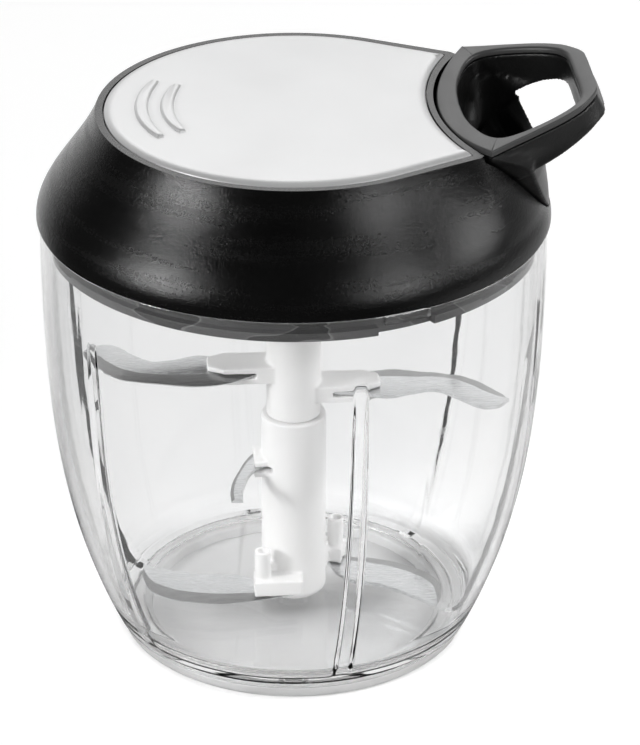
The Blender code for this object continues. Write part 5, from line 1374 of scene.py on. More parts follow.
@dataclass
class HandleForm:
    """The pull handle's lines: the tilted ring, its opening and the tongue under it."""

    corner: Pair = (45.0, 33.0)
    arc: float = 35.5
    end_x: float = 73.4
    far_x: float = 83.2
    flare: float = 2.5
    flare_start: float = 50.8
    top: float = 143.7
    rise: float = 0.235
    rise_start: float = 44.0
    bar: float = 9.8
    deepening: float = 0.42
    deep_end: Row = (62.0, 10.0, 1.7, 1.3)
    thinning: float = 0.33
    thin_start: Row = (61.0, 12.0, 1.2)
    narrow: Pair = (45.0, 19.0)
    opening_narrow: Pair = (66.0, 12.0)
    cap: float = 1.5
    cap_gap: float = 0.3
    rim_height: float = 2.4
    gap: float = 0.8
    side_wall: float = 3.0
    outline_half: Pairs = (
        (50.0, 30.4), (55.8, 27.6), (63.1, 23.7), (68.2, 19.8), (71.1, 15.9), (72.9, 12.2), (73.3, 8.7))
    opening_half: Pairs = (
        (40.8, 0.0), (41.2, 8.0), (42.4, 15.0), (44.8, 22.0), (47.6, 25.6), (50.8, 26.1),
        (55.5, 24.7), (61.5, 21.6), (66.3, 17.9), (68.7, 13.8), (69.3, 8.5), (69.3, 0.0))
    heights: Row = (117.4, 118.2, 119.8, 122.6, 126.0, 130.0, 134.0, 138.0, 142.0)
    widths: Row = (4.0, 8.5, 12.5, 16.3, 19.2, 21.8, 24.8, 28.2, 32.6)
    faces: Row = (63.4, 63.4, 63.3, 63.0, 62.5, 61.9, 61.7, 62.0, 62.6)
    levels_between: int = 3
    back_top: float = 133.4
    back_run: float = 23.5
    back_power: float = 1.3
    wall_growth: float = 3.1
    wall_below: float = 1.2
    flank_play: float = 0.6
    scoop_bottom: float = 121.2
    lip: Row = (129.4, 134.6, 19.5)

    def top_at(self, x: float) -> float:
        """Height of the tilted top plane."""
        return self.top + self.rise * (x - self.rise_start)

    def dropped(self, line: Iterable[Point], drop: float) -> list[Row]:
        """A flat line laid at a drop below the top plane."""
        return [(x, y, self.top_at(x) - drop) for x, y in line]

    def outline(self, grow: float = 0.0) -> list[Pair]:
        """The cap's outer edge: an arc at the plate, straight flanks, a squarish end."""
        half = [self.corner, *self.outline_half]
        half = [(x, y + grow) for x, y in half] + [(self.end_x + grow, 0.0)]
        mirrored = [(x, -y) for x, y in half[-2::-1]]
        ys = spread(-self.corner[1], self.corner[1], 41)[1:-1]
        return smooth_line(half + mirrored, 8) + [
            (arc_x(y, self.corner, self.arc) - grow, y) for y in ys]

    def opening(self) -> list[Pair]:
        """The ring's opening."""
        half = self.opening_half
        mirrored = [(x, -y) for x, y in half[-2:0:-1]]
        return smooth_line([*half, *mirrored, half[0]], 6)[:-1]

    def widest(self) -> Pair:
        """Where the opening is widest: its x, and half its width."""
        return max(self.opening_half, key=lambda place: place[1])

    def width_at(self, z: float) -> float:
        """Half the tongue's width at a height."""
        return blend_between(z, self.heights, self.widths)

    def depth(self, x: float, share: float) -> float:
        """Drop below the top plane; the ring is deepest beside the tongue."""
        seat = self.cap + self.cap_gap
        end, run, most, near_power = self.deep_end
        near = held((end - x) / run, most) ** near_power
        start, reach, far_power = self.thin_start
        far = held((x - start) / reach) ** far_power
        deep = 1 + self.deepening * near - self.thinning * far
        return seat + share * (self.bar * deep - seat)

    def flank_level(self, share: float) -> list[Row]:
        """The ring's outer edge at a share of its depth.

        It draws in beside the tongue, so that it meets the dome at the split line, and
        flares outward toward the end.

        Args:
            share: the share of the ring's depth.

        Returns:
            The edge.
        """
        level = []
        start, run = self.narrow
        for x, y in self.outline():
            width = self.width_at(self.top_at(x) - self.depth(x, share))
            y *= 1 - (1 - width / self.widths[-1]) * held(1 - (x - start) / run)
            away = x - self.flare_start
            far = held(away / (self.end_x - self.flare_start))
            out = self.flare * share * far ** 2 / math.hypot(away, y)
            x, y = x + out * away, y + out * y
            level.append((x, y, self.top_at(x) - self.depth(x, share)))
        return level

    def opening_level(self, share: float) -> list[Row]:
        """The opening's edge at a share of the ring's depth, inside the scoop's walls."""
        level = []
        half, (end, run) = self.widest()[1], self.opening_narrow
        for x, y in self.opening():
            z = self.top_at(x) - self.depth(x, share)
            room = min((self.width_at(z) - self.side_wall) / half, 1)
            y *= 1 - (1 - room) * held((end - x) / run)
            level.append((x, y, z))
        return level

    def slab(self, outline: Sequence[Point], low: float, high: float) -> Shape:
        """A slab between two drops below the top plane."""
        return Shape.loft([self.dropped(outline, drop) for drop in (low, high)])

    def back_x(self, y: float, z: float) -> float:
        """Back face of the tongue, leaning out toward its foot."""
        share = held((self.back_top - z) / (self.back_top - self.heights[0])) ** self.back_power
        near = arc_x(min(abs(y), self.corner[1]), self.corner, self.arc)
        return near * (1 - share) + share * (self.arc + self.back_run)

    def flank_x(self, y: float) -> float:
        """The x of the ring's flank at one distance from the middle."""
        flank = sorted((py, px) for px, py in (self.corner, *self.outline_half))
        return blend_between(y, [py for py, _ in flank], [px for _, px in flank])

    def wedge(self, grow: float, far: float | None = None, lift: float = 0.0,
              back_in: float = 0.0) -> Shape:
        """The handle's lower part, or the space round it.

        Args:
            grow: how far it grows on every side.
            far: the x of its front, where it isn't the lid's round face.
            lift: how far it goes on above its top.
            back_in: how far its back face lies in.

        Returns:
            The shape.
        """
        levels = []
        rows = list(zip(self.heights, self.widths, self.faces))
        fine = self.levels_between
        for a, b in zip(rows, rows[1:]):
            for k in range(fine):
                levels.append(tuple(p + (q - p) * k / fine for p, q in zip(a, b)))
        levels.append(rows[-1])
        if grow:
            walled = grow >= self.wall_growth
            below = self.wall_below + grow - self.wall_growth if walled else grow
            levels.insert(0, (levels[0][0] - below, *levels[0][1:]))
        if lift:
            levels.append((levels[-1][0] + lift, *levels[-1][1:]))
        sections = []
        for z, half, face in levels:
            ys = spread(-(half + grow), half + grow, 33)
            back = [(self.back_x(y, z) + back_in - grow, y, z) for y in ys]
            front = [(far if far else min(math.sqrt(face ** 2 - y ** 2),
                                          self.flank_x(abs(y) + self.flank_play)), y, z)
                     for y in reversed(ys)]
            sections.append(back + front)
        return Shape.loft(sections)

    def cutter(self, grow: float) -> Shape:
        """The tool that clears the dome for the handle."""
        return self.wedge(grow, far=self.far_x, lift=self.bar)


@dataclass(frozen=True)
class PanHeadScrew:
    """A pan head screw with a cross recess, its seat at height nought."""

    radius: float
    head: float
    head_height: float
    length: float
    down: int
    pitch: float = 0.5
    crest: float = 0.28
    core_share: float = 0.82
    tip_share: float = 0.4
    head_shares: Pairs = (
        (1, 0), (1, 0.45), (0.9, 0.8), (0.62, 1), (0, 1))
    cross_shares: Row = (0.56, 0.13, 0.5)

    def shape(self) -> Shape:
        """Makes the screw."""
        radius, core, down = self.radius, self.radius * self.core_share, self.down
        thread = self.length - radius
        line = [(0, -down * self.length), (radius * self.tip_share, -down * self.length),
                (core, -down * thread)]
        turns = int(self.length / self.pitch)
        for k in range(turns):
            z = thread - thread * (k + 1) / turns
            line += [(radius, -down * (z + self.crest)), (core, -down * z)]
        top = down * self.head_height
        line += [(self.head * wide, top * tall) for wide, tall in self.head_shares]
        long, thin, deep = self.cross_shares
        span = sorted((top - top * deep, top + top))
        half, thin = (-self.head * long, self.head * long), (-self.head * thin, self.head * thin)
        return Shape.lathe(line, 28).cut(Shape.box(half, thin, span), Shape.box(thin, half, span))


@dataclass
class LidUnit:
    """Black dome with its top plate, and the plug, seal and screws under it."""

    finishes: Finishes
    form: HandleForm
    radius: float = 64.0
    bottom: float = 115.5
    dome_top: float = 142.4
    above_top: float = 0.3
    top_radius: float = 48.8
    side_pulls: Pairs = ((63.9, 122.6), (53.7, 130.5))
    wall: float = 2.6
    hollow_start: float = 0.6
    corner: Pair = (42.4, 33.0)
    corner_fade: float = 120.5
    plate_radius: float = 46.6
    plate_corner: Pair = (40.4, 31.1)
    plate_arc: float = 32.8
    plate_top: float = 143.2
    plate_thickness: float = 1.6
    plate_edge: Row = (2.6, 0.8, 2.2)
    plate_step: float = 0.1
    plate_burr: float = 0.12
    seat_gap: float = 0.4
    window: Pair = (3.0, 2.6)
    overrun: float = 3.0
    crescents: Rows = ((-0.1, 37.3, 27.6), (2.2, 33.3, 25.7))
    crescent_width: float = 3.4
    crescent_end: Row = (0.8, 2.4, 0.05)
    crescent_levels: Rows = (
        (-0.6, 1.0, 0.0), (0.0, 1.0, 0.0), (0.35, 0.93, 0.3), (0.58, 0.78, 0.9), (0.7, 0.52, 1.6))
    screw_angles: Row = (60.0, 120.0, 240.0, 300.0)
    screw_circle: float = 48.0
    screw_sink: float = 0.3
    screw_post: Pair = (3.4, 112.3)
    screw_pilot: Row = (1.6, 111.7, 122.5)
    screw_hole: Row = (1.6, 109.0, 112.3)
    cover_angles: Row = (90.0, 210.0, 330.0)
    cover_circle: float = 32.3
    cover_foot: float = 2.4
    cover_hole: Row = (1.2, 110.4, 112.3)
    guide_hole: Row = (2.2, 15.0, 6.0)
    plug_floor: Pair = (110.0, 112.0)
    plug_growth: float = 3.4
    plug_line: Pairs = (
        (9.2, 110), (55.9, 110), (55.9, 109), (60.2, 109), (60.2, 111.2), (58.3, 111.2),
        (58.3, 115.35), (60.9, 115.35), (60.9, 116.75), (55.9, 116.75), (55.9, 112), (9.2, 112))
    plug_edge: float = 0.25
    lock_turn: float = 27.0
    notch: Row = (58.3, 62.6, 106.0, 111.5, 14.0)
    detent: Row = (57.6, 60.7, 110.5, 113.6, 12.0)
    seal_line: Pairs = (
        (58.6, 113.93), (60.3, 113.65), (60.65, 114.35), (60.3, 115.05), (58.6, 115.05))
    seal_edge: float = 0.3
    lid_screw: PanHeadScrew = PanHeadScrew(1.3, 2.7, 1.6, 10.5, -1)
    cover_screw: PanHeadScrew = PanHeadScrew(0.9, 1.8, 1.0, 3.2, 1)

    def profile_radius(self, height: float) -> float:
        """Radius of the dome's S shaped side at a height, from one cubic curve."""
        ends = ((self.radius, self.bottom), *self.side_pulls, (self.top_radius, self.dome_top))
        low, high, radius = 0.0, 1.0, 0.0
        for _ in range(40):
            t = (low + high) / 2
            s = 1 - t
            shares = (s ** 3, 3 * s * s * t, 3 * s * t * t, t ** 3)
            radius = sum(share * end[0] for share, end in zip(shares, ends))
            if sum(share * end[1] for share, end in zip(shares, ends)) < height:
                low = t
            else:
                high = t
        return radius

    def dome_solid(self, inset: float, low: float, high: float, levels: int, around: int) -> Shape:
        """Makes the dome's full form between two heights."""
        angles = [360 * k / around for k in range(around)]
        growths = [corner_growth(angle, self.corner, self.top_radius) for angle in angles]
        sections = []
        for z in spread(low, high, levels):
            fade = held((z - self.corner_fade) / (self.dome_top - self.corner_fade))
            base = self.profile_radius(z) - inset
            sections.append([(*polar(base + growth * fade, angle), z)
                             for growth, angle in zip(growths, angles)])
        return Shape.loft(sections)

    def plate_outline(self, grow: float) -> list[Pair]:
        """Round at the left, straight flanks, two corners and an arc at the right."""
        corner_at = math.degrees(math.atan2(self.plate_corner[1], self.plate_corner[0]))
        line, steps = [], 150
        for k in range(steps + 1):
            angle = corner_at + (360 - 2 * corner_at) * k / steps
            growth = corner_growth(angle, self.plate_corner, self.plate_radius)
            line.append(polar(self.plate_radius + growth + grow, angle))
        for y in spread(-self.plate_corner[1], self.plate_corner[1], 41)[1:-1]:
            line.append((arc_x(y, self.plate_corner, self.plate_arc) + grow, y))
        return line

    def screw_rods(self, radius: float, low: float, high: float, around: int) -> list[Shape]:
        """Rods at the lid screws, for their posts and holes."""
        return [Shape.rod(radius, low, high, around, polar(self.screw_circle, angle))
                for angle in self.screw_angles]

    def dome(self) -> Shape:
        """Makes the dome with the handle's recess, the plate's seat and the screw posts."""
        form, above = self.form, self.plate_top + self.overrun
        shell = self.dome_solid(0, self.bottom, self.dome_top, 36, 180)
        ledge = self.plate_top - self.plate_thickness - self.seat_gap
        hollow_top = ledge - self.wall / 2
        hollow = self.dome_solid(self.wall, self.bottom - self.hollow_start, hollow_top, 12, 120)
        radius, low = self.screw_post
        hollow.cut(form.cutter(form.wall_growth), *self.screw_rods(radius, low, self.plate_top, 32))
        seat = Shape.prism(self.plate_outline(self.seat_gap), ledge, above)
        inset, drop = self.window
        window = Shape.prism(self.plate_outline(-inset), hollow_top - drop, above)
        window.cut(form.cutter(form.wall_growth))
        rim = form.slab(form.outline(form.gap), form.rim_height + form.gap, -self.wall)
        shell.cut(hollow, form.cutter(form.gap), rim, seat, window)
        shell.cut(*self.screw_rods(*self.screw_pilot, 24))
        return shell.cut(bore_along("cord_guide", *self.guide_hole))

    def crescent(self, centre: float, radius: float, half_angle: float) -> Shape:
        """A raised ridge, bowed to the left, with a soft back and flat cut ends.

        Args:
            centre: the x of the bow's centre.
            radius: the radius of its middle line.
            half_angle: how far it reaches to each side, in degrees.

        Returns:
            The ridge.
        """
        sections = []
        half = self.crescent_width / 2
        taper, power, least = self.crescent_end
        for rise, share, pull in self.crescent_levels:
            outer, inner = [], []
            reach = half_angle - pull
            for angle in spread(180 - reach, 180 + reach, 49):
                away = abs(angle - 180) / half_angle
                wide = half * math.sqrt(max(1 - taper * away ** power, least)) * share
                outer.append(polar(radius + wide, angle))
                inner.append(polar(radius - wide, angle))
            sections.append([(centre + x, y, self.plate_top + rise)
                             for x, y in outer + inner[::-1]])
        return Shape.loft(sections)

    def plate(self) -> Shape:
        """Makes the top plate with a rounded edge and both crescents."""
        low, top, burr = self.plate_top - self.plate_thickness, self.plate_top, self.plate_burr
        width, drop, power = self.plate_edge
        levels = [(low, burr), (low + burr, 0.0), (top - drop - self.plate_step, 0.0)]
        levels += [(top - drop * (1 - share) ** power, width * share)
                   for share in spread(0.05, 1.0, 10)]
        plate = Shape.loft([[(x, y, z) for x, y in self.plate_outline(-inset)]
                            for z, inset in levels])
        return plate.joined(*(self.crescent(*crescent) for crescent in self.crescents))

    def plug(self) -> Shape:
        """Makes the plug with its bayonet notches, detents and screw holes."""
        plug = Shape.lathe(rounded(self.plug_line, self.plug_edge, 2), 200)
        tools = []
        for angle in LUG_ANGLES:
            tools.append(self.sector(angle, *self.notch))
            tools.append(self.sector(angle + self.lock_turn, *self.detent))
        tools += self.screw_rods(*self.screw_hole, 24)
        tools += [Shape.rod(*self.cover_hole, 24, polar(self.cover_circle, angle))
                  for angle in self.cover_angles]
        return plug.cut(*tools, self.form.cutter(self.plug_growth))

    def sector(self, angle: float, inner: float, outer: float, low: float, high: float,
               width: float) -> Shape:
        """A curved block between two radii, its width in degrees."""
        angles = spread(angle - width / 2, angle + width / 2, 9)
        line = [polar(outer, a) for a in angles] + [polar(inner, a) for a in angles[::-1]]
        return Shape.prism(line, low, high)

    def screws(self, name: str, one: PanHeadScrew, circle: float, angles: Sequence[float],
               height: float, numbers: Sequence[int]) -> None:
        """Sets copies of a screw round a circle by a node tree, as one piece.

        Args:
            name: the piece's name, which starts as their CAD nodes' names do.
            one: the screw.
            circle: the radius of their circle.
            angles: their directions in degrees, evenly spaced.
            height: the height of their seats.
            numbers: the numbers of their CAD nodes.
        """
        sizes = {"Circle Radius": circle, "First Angle": math.radians(angles[0]),
                 "Angle Step": math.radians(angles[1] - angles[0]), "Seat Height": height}
        n, size = start_tree("screw_circle", sizes, ["Count"])
        index = n.out("GeometryNodeInputIndex")
        angle = n.math("ADD", n.math("MULTIPLY", index, size["Angle Step"]), size["First Angle"])
        x, y = (n.math("MULTIPLY", n.math(part, angle), size["Circle Radius"])
                for part in ("COSINE", "SINE"))
        spot = n.out("ShaderNodeCombineXYZ", {0: x, 1: y, 2: size["Seat Height"]})
        points = n.out("GeometryNodePoints", {"Count": size["Count"], "Position": spot})
        turn = n.out("ShaderNodeCombineXYZ", {2: angle})
        copies = n.out("GeometryNodeInstanceOnPoints", {
            "Points": points, "Instance": size["Geometry"], "Rotation": turn})
        end_tree(n, copies, size["Material"])
        steel = self.finishes.steel
        inputs = {**sizes, "Count": len(angles), "Material": steel}
        one.shape().with_modifier("NODES", inputs, node_group=n.tree).piece(
            name, steel, Body.LID, Slot.STEEL,
            [f"{name.partition('screw')[0]}screw_{number}" for number in numbers])

    def build(self) -> None:
        """Builds and dresses the dome, plate, plug, seal and screws."""
        f = self.finishes
        self.dome().piece("lid_dome_grained", f.dome, Body.LID, Slot.BLACK, ["lid_dome"], 30)
        self.plate().piece("top_plate_satin", f.plate, Body.LID, Slot.PLATE, ["top_plate"], 38)
        self.plug().piece("lid_plug_moulded", f.plug, Body.LID, Slot.BLACK, ["lid_plug"], 30)
        Shape.lathe(rounded(self.seal_line, self.seal_edge), 200).piece(
            "lid_seal_lipped", f.seal, Body.LID, Slot.SEAL, ["lid_seal"], 50)
        low, high = self.plug_floor
        for name, angles, numbers in (("lid_screws_far", self.screw_angles[:2], (1, 2)),
                                      ("lid_screws_near", self.screw_angles[2:], (3, 4))):
            self.screws(name, self.lid_screw, self.screw_circle, angles, low - self.screw_sink, numbers)
        self.screws("cover_screws", self.cover_screw, self.cover_circle, self.cover_angles,
                    high + self.cover_foot, (1, 2, 3))


def node_box(name: str) -> tuple[Point, Point]:
    """Lowest and highest corner of a CAD node, in millimetres about the bowl's axis."""
    low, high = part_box(name)
    shift = Vector((AXIS_X, 0, 0))
    return tuple(low / MM - shift), tuple(high / MM - shift)


def bore_along(name: str, radius: float, before: float, behind: float) -> Shape:
    """The tool for a bore in the direction of x through the middle of a CAD node.

    Args:
        name: the node.
        radius: the bore's radius.
        before: how far before the node it starts.
        behind: how far behind the node it ends.

    Returns:
        The tool.
    """
    low, high = node_box(name)
    y, z = (low[1] + high[1]) / 2, (low[2] + high[2]) / 2
    return Shape.tube([(low[0] - before, y, z), (high[0] + behind, y, z)], radius)


# Handle
@dataclass
class HandleUnit:
    """Pull handle: a tilted ring with its dark cap, the scoop and the tongue under it."""

    finishes: Finishes
    form: HandleForm
    lid: LidUnit
    centre: Pair = (56.0, 0.0)
    beyond: float = 160.0
    face_wall: float = 2.7
    back_wall: float = 5.5
    scoop_play: float = 0.3
    scoop_end: Pair = (4.0, 0.08)
    lip_power: float = 2.4
    ring_inset: float = 0.15
    hollow_shares: Pair = (1.05, -0.35)
    anchor: Row = (1.9, 3.6, 0.3)
    net: float = 0.36
    passes: int = 4
    cap_edge: Pairs = (
        (0.42, 0.0), (0.24, 0.05), (0.10, 0.16), (0.02, 0.32), (0.0, 0.50))
    cap_soft: Pairs = (
        (0.72, 0.0), (0.46, 0.08), (0.24, 0.24), (0.08, 0.50), (0.0, 0.86))
    cap_foot: Pairs = ((0.0, 0.14), (0.12, 0.02))

    def above(self, drop: float) -> Shape:
        """Everything above a drop from the handle's top plane."""
        start, side = self.form.arc / 2, 2 * self.form.corner[1]
        field = [(start, -side), (self.beyond, -side), (self.beyond, side), (start, side)]
        return self.form.slab(field, drop, -self.beyond)

    def relief(self) -> Shape:
        """What takes the dome out of the ring, all but the rim that lies on the dome."""
        lid = self.lid
        dome = lid.dome_solid(-self.form.gap, lid.bottom, lid.dome_top + lid.above_top, 36, 180)
        return dome.cut(self.above(self.form.rim_height))

    def ring(self) -> Shape:
        """The ring below its cap."""
        return Shape.loft([self.form.flank_level(share) for share in spread(1.0, 0.0, 10)])

    def scoop(self) -> Shape:
        """The pocket between the back wall, the side walls and the tongue."""
        form = self.form
        power, least = self.scoop_end
        sections = []
        for z in spread(form.scoop_bottom, form.top, 25):
            half = min(form.width_at(z) - form.side_wall, form.widest()[1] - self.scoop_play)
            face = blend_between(z, form.heights, form.faces) - self.face_wall
            ys = spread(-half, half, 41)
            back = [form.back_x(y, z) + self.back_wall for y in ys]
            front = [math.sqrt(face ** 2 - y ** 2) for y in ys]
            if min(f - b for f, b in zip(front, back)) < self.face_wall / 2:
                continue
            inner, outer = [], []
            for y, near, away in zip(ys, back, front):
                share = max(1 - (abs(y) / half) ** power, least) ** 0.5
                middle, reach = (near + away) / 2, (away - near) / 2 * share
                inner.append((middle - reach, y, z))
                outer.append((middle + reach, y, z))
            sections.append(inner + outer[::-1])
        return Shape.loft(sections)

    def lip(self) -> Shape:
        """What cuts the scoop's outer wall down to a U shaped lip under the ring."""
        form = self.form
        low, high, half = form.lip
        line = [(y, low + (high - low) * (abs(y) / half) ** self.lip_power)
                for y in spread(-half, half, 41)]
        sections = []
        for x in (form.widest()[0], form.far_x):
            top = form.top_at(x) - form.bar - form.gap
            sections.append([(x, y, z) for y, z in line] + [(x, half, top), (x, -half, top)])
        return Shape.loft(sections)

    def body(self) -> Shape:
        """Makes the ring, the tongue and the scoop as one moulding."""
        form = self.form
        ring = self.ring().cut(self.relief())
        wedge = form.wedge(0, back_in=self.ring_inset).cut(self.above(form.cap + form.cap_gap))
        hollow = Shape.loft([form.opening_level(share)
                             for share in spread(*self.hollow_shares, 12)])
        hollow.joined(self.scoop(), self.lip())
        radius, before, behind = self.anchor
        anchor = bore_along("cord_ferrule", radius, before, behind)
        return ring.joined(wedge).cut(hollow, anchor).softened(self.net, self.passes)

    def by_angle(self, loop: Sequence[Point], angles: np.ndarray) -> list[Pair]:
        """Points of a closed line in given directions from the ring's centre."""
        line = np.array(loop, float) - self.centre
        turn = np.unwrap(np.arctan2(line[:, 1], line[:, 0]))
        if turn[-1] < turn[0]:
            line, turn = line[::-1], turn[::-1]
        turn = np.concatenate([turn - math.tau, turn, turn + math.tau])
        line = np.tile(line, (3, 1))
        return [(self.centre[0] + np.interp(a, turn, line[:, 0]),
                 self.centre[1] + np.interp(a, turn, line[:, 1])) for a in angles]

    def cap(self) -> Shape:
        """Makes the thin cap on the ring, with rounded edges inside and outside."""
        form = self.form
        corner = math.atan2(form.corner[1], form.corner[0] - self.centre[0])
        angles = np.sort(np.append(np.linspace(0.01, math.tau + 0.01, 360, endpoint=False),
                                   [corner, math.tau - corner]))
        outer = self.by_angle(form.outline(), angles)
        inner = self.by_angle(form.opening(), angles)
        foot = [(form.cap - up, inset) for up, inset in self.cap_foot]
        sections = [form.dropped(offset_loop(outer, inset), drop)
                    for drop, inset in (*foot, *self.cap_edge)]
        sections += [form.dropped(offset_loop(inner, -inset), drop)
                     for drop, inset in (*foot, *self.cap_soft)[::-1]]
        return Shape.loft(sections, caps=False)

    def build(self) -> None:
        """Builds and dresses the handle's body and cap."""
        f = self.finishes
        self.body().piece("handle_body_moulded", f.handle, Body.HANDLE, Slot.BLACK, ["handle_body"], 50)
        self.cap().piece("handle_cap_dark", f.cap, Body.HANDLE, Slot.DARK, ["handle_cap"], 40)


# Drive
@dataclass
class DriveUnit:
    """What the lid hides: the cord on its reel, the coupling, the spring and its cover."""

    finishes: Finishes
    cord_radius: float = 0.8
    cord_sides: int = 16
    turns: float = 3.25
    turn_steps: int = 64
    pitch: float = 2.12
    first_angle: float = -90.0
    weave: Pair = (0.8, 4.0)

    def cord(self, name: str, path: Sequence[Point], body: Body) -> None:
        """Makes a stretch of cord with its strands' map.

        Args:
            name: the CAD node that it stands for.
            path: its centre line.
            body: the body that it rides on.
        """
        around = self.cord_sides
        along, across = self.weave
        shape = Shape.tube(path, self.cord_radius, around)
        mesh = shape.mesh
        far = [0.0]
        for a, b in zip(path, path[1:]):
            far.append(far[-1] + (Vector(b) - Vector(a)).length)
        layer = mesh.uv_layers.new(name="UVMap")
        for face in mesh.polygons:
            sides = [mesh.loops[i].vertex_index % around for i in face.loop_indices]
            wraps = 0 in sides and around - 1 in sides
            for i, side in zip(face.loop_indices, sides):
                row = mesh.loops[i].vertex_index // around
                side = side + around if wraps and side == 0 else side
                layer.data[i].uv = (far[row] * along, side / around * across)
        shape.piece(f"{name}_braided", self.finishes.cord, body, Slot.CORD, [name], 60)

    def build(self) -> None:
        """Builds the cord and dresses the CAD nodes that keep their shape."""
        low, high = node_box("cord_winding")
        radius = (high[1] - low[1]) / 2 - self.cord_radius
        top = high[2] - self.cord_radius
        steps = int(self.turns * self.turn_steps)
        winding = [(*polar(radius, self.first_angle - 360 * self.turns * k / steps),
                    top - self.pitch * self.turns * k / steps) for k in range(steps + 1)]
        self.cord("cord_winding", winding, Body.DRIVE)
        low, high = node_box("cord_lead")
        y, z = (low[1] + high[1]) / 2, (low[2] + high[2]) / 2
        self.cord("cord_lead", [(x, y, z) for x in spread(low[0], high[0], 64)], Body.HANDLE)
        f = self.finishes
        kept = {"lid_bush": f.bearing, "spring_cover": f.reel, "cord_reel": f.reel,
                "recoil_spring": f.spring, "drive_coupling": f.white,
                **dict.fromkeys(("spindle", "retaining_screw", "cord_guide", "cord_ferrule"), f.steel)}
        for name, material in kept.items():
            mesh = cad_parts[name].data
            mesh.materials.clear()
            mesh.materials.append(material)
            LOG.info("%s: kept, dressed as %s", name, material.name)


# Studio
@dataclass(frozen=True)
class Softbox:
    """A soft rectangular lamp."""

    name: str
    place: Row
    aim: Row
    size: Pair
    power: float

    def light(self) -> None:
        """Hangs the lamp."""
        lamp = bpy.data.lights.new(self.name, "AREA")
        lamp.shape = "RECTANGLE"
        lamp.size, lamp.size_y = (side * MM for side in self.size)
        lamp.energy = self.power
        thing = placed(self.name, lamp)
        place, aim = Vector(self.place) * MM, Vector(self.aim) * MM
        thing.location = place
        thing.rotation_euler = (aim - place).to_track_quat("-Z", "Y").to_euler()
        thing.visible_transmission = False


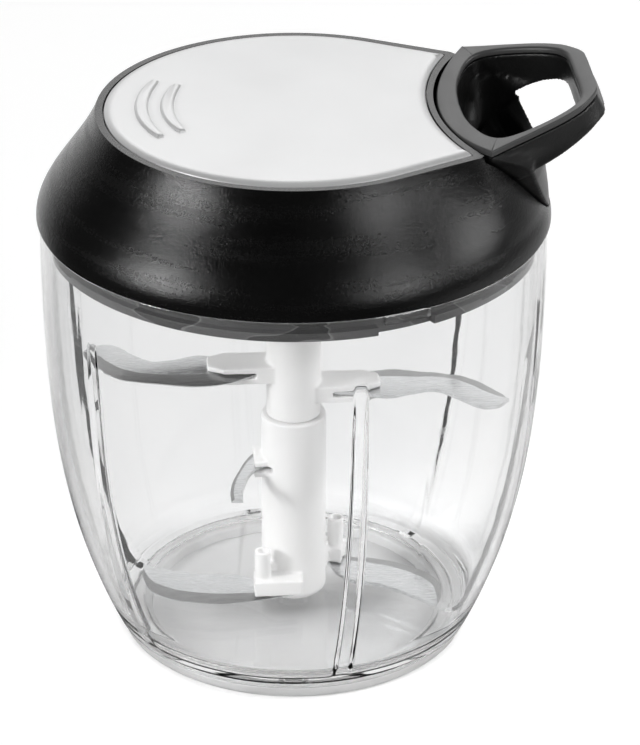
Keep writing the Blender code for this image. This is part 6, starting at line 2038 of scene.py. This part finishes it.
@dataclass
class Studio:
    """Pale floor, soft lamps and the camera."""

    target_z: float = 69.3
    distance: float = 947.0
    elevation: float = 27.44
    turn: float = 4.1
    lens: float = 179.8
    shift: float = 0.0353
    clip: Pair = (0.05, 20.0)
    floor_side: float = 6.0
    floor_drop: float = 0.00003
    floor_levels: Pair = (0.80, 0.79)
    floor_cloud: float = 3.0
    floor_roughness: float = 0.9
    floor_glow: float = 0.34
    # painted shade: how much less the floor glows when seen through the clear wall
    through_wall_glow_cut: float = 0.16
    dim_floor: float = 0.05
    behind_span: Pair = (0.50, 0.90)
    side_span: Pair = (-0.80, -0.35)
    side_share: float = 0.5
    right_span: Pair = (0.0, 0.15)
    # painted shadow under the bowl: its grey, and the reach from the middle where it fades out
    bowl_shadow_grey: float = 0.59
    bowl_shadow_span: Pair = (0.036, 0.056)
    sky: float = 0.33
    high_span: Pair = (0.38, 0.58)
    high_level: float = 0.04
    ahead_span: Pair = (0.66, 0.95)
    ahead_level: float = 0.02
    through_level: float = 0.96
    softboxes: tuple[Softbox, ...] = (
        Softbox("softbox_left", (-932, -415, 542), (0, 0, 90), (260, 220), 5.5),
        Softbox("softbox_right", (720, -720, 640), (0, 0, 90), (330, 240), 2.6),
        Softbox("softbox_side", (1000, 90, 560), (0, 0, 90), (520, 260), 3.6),
        Softbox("softbox_far", (120, 1050, 900), (0, 0, 110), (1000, 500), 4.0),
    )

    def camera(self) -> None:
        """Sets the camera at the photograph's viewing angle."""
        lens = bpy.data.cameras.new("camera")
        lens.lens = self.lens
        lens.shift_x = self.shift
        lens.clip_start, lens.clip_end = self.clip
        thing = placed("camera", lens)
        up, turn = math.radians(self.elevation), math.radians(self.turn)
        away = Vector((-math.sin(turn) * math.cos(up), -math.cos(turn) * math.cos(up), math.sin(up)))
        target = Vector((AXIS_X, 0, self.target_z)) * MM
        thing.location = target + away * self.distance * MM
        thing.rotation_euler = (-away).to_track_quat("-Z", "Y").to_euler()
        bpy.context.scene.camera = thing

    def sight(self, n: Nodes) -> tuple[Socket, Socket]:
        """Tells sight from light.

        Args:
            n: the tree that asks.

        Returns:
            1 for what is seen straight or through clear plastic, and 1 for what is seen
            mirrored; both are 0 for light that a dull surface gathers.
        """
        path = n.node("ShaderNodeLightPath").outputs
        free = n.math("LESS_THAN", path["Diffuse Depth"], 0.5)
        straight = n.math("MAXIMUM", path["Is Camera Ray"], path["Is Transmission Ray"])
        mirrored = n.math("MAXIMUM", n.math("SUBTRACT", path["Is Glossy Ray"], straight), 0.0)
        return n.math("MULTIPLY", straight, free), n.math("MULTIPLY", mirrored, free)

    def floor_finish(self) -> Material:
        """Makes the floor's finish: lit behind, dim in front as seen in reflections, with a painted
        shadow under the bowl.
        """
        d = Dress("pale_floor")
        straight, mirrored = self.sight(d)
        inner = d.out("ShaderNodeLightPath", output="Is Transmission Ray")
        spot = d.node("ShaderNodeSeparateXYZ", {0: d.place()}).outputs
        squares = [d.math("MULTIPLY", spot[axis], spot[axis]) for axis in "XY"]
        reach = d.math("SQRT", d.math("ADD", *squares))
        way = d.math("DIVIDE", spot["Y"], d.math("MAXIMUM", reach, MM))
        side = d.math("MULTIPLY", d.smooth(way, self.side_span, (0, self.side_share)),
                      d.smooth(spot["X"], self.right_span))
        behind = d.math("MAXIMUM", d.smooth(way, self.behind_span), side)
        # painted shadow mask: 1 under the bowl, fading to 0 past its foot
        under = d.smooth(reach, self.bowl_shadow_span, (1, 0))
        cloud = d.clouds(self.floor_cloud)
        colour = d.blend(cloud, *(grey(level) for level in self.floor_levels))
        dim = d.math("MULTIPLY", mirrored, d.math("SUBTRACT", 1.0, behind))
        colour = d.blend(dim, colour, grey(self.dim_floor))
        # painted shadow: the floor seen through the clear plastic is grey under the bowl
        colour = d.blend(d.math("MULTIPLY", under, inner), colour, grey(self.bowl_shadow_grey))
        seen = d.math("MAXIMUM", straight, d.math("MULTIPLY", mirrored, behind))
        # painted shade: seen through the clear wall the floor glows less, and under the bowl not at all
        glow_cut = d.remap(under, (0, 1), (self.through_wall_glow_cut, self.floor_glow))
        glow = d.math("SUBTRACT", self.floor_glow, d.math("MULTIPLY", inner, glow_cut))
        return d.finish(Base_Color=colour, Roughness=self.floor_roughness,
                        Specular_IOR_Level=0.0, Emission_Color=(1, 1, 1, 1),
                        Emission_Strength=d.math("MULTIPLY", seen, glow))

    def floor(self) -> None:
        """Lays the plain pale floor."""
        side = self.floor_side
        mesh = bpy.data.meshes.new("floor")
        corners = ((-1, -1), (1, -1), (1, 1), (-1, 1))
        mesh.from_pydata([(x * side, y * side, -self.floor_drop) for x, y in corners], [],
                         [(0, 1, 2, 3)])
        mesh.materials.append(self.floor_finish())
        thing = placed("floor", mesh)

    def world(self) -> None:
        """Makes the white surroundings, darker high up on the camera's side."""
        world = bpy.data.worlds.new("studio")
        world.use_nodes = True
        bpy.context.scene.world = world
        n = Nodes(world.node_tree)
        back = world.node_tree.nodes["Background"]
        spot = n.out("ShaderNodeTexCoord", output="Generated")
        way = n.node("ShaderNodeSeparateXYZ", {0: spot}).outputs
        straight, mirrored = self.sight(n)
        camera = n.out("ShaderNodeLightPath", output="Is Camera Ray")
        shown = n.math("MULTIPLY", n.smooth(way["Z"], self.high_span, (1, self.high_level)),
                       n.smooth(way["Y"], self.ahead_span, (self.ahead_level, 1)))
        through = n.math("MAXIMUM", camera, n.remap(shown, (0, 1), (self.through_level, 1)))
        level = n.math("ADD", n.math("MULTIPLY", mirrored, shown),
                       n.math("MULTIPLY", straight, through))
        light = n.math("SUBTRACT", 1.0, n.math("MAXIMUM", straight, mirrored))
        strength = n.math("ADD", level, n.math("MULTIPLY", light, self.sky))
        n.tree.links.new(strength, back.inputs["Strength"])
        back.inputs["Color"].default_value = (1, 1, 1, 1)

    def build(self) -> None:
        """Sets up camera, floor, surroundings and lamps."""
        bpy.context.scene.view_settings.view_transform = "Standard"
        self.camera()
        self.floor()
        self.world()
        for box in self.softboxes:
            box.light()
            LOG.info("%s: %.1f W", box.name, box.power)


def main() -> None:
    """Builds the chopper's looks round the CAD frame."""
    logging.basicConfig(level=logging.INFO, format="%(message)s")
    Studio().build()
    finishes, form = Finishes(), HandleForm()
    BowlUnit(finishes).build()
    BladeUnit(finishes).build()
    lid = LidUnit(finishes, form)
    lid.build()
    HandleUnit(finishes, form, lid).build()
    DriveUnit(finishes).build()


if __name__ == "__main__":
    main()
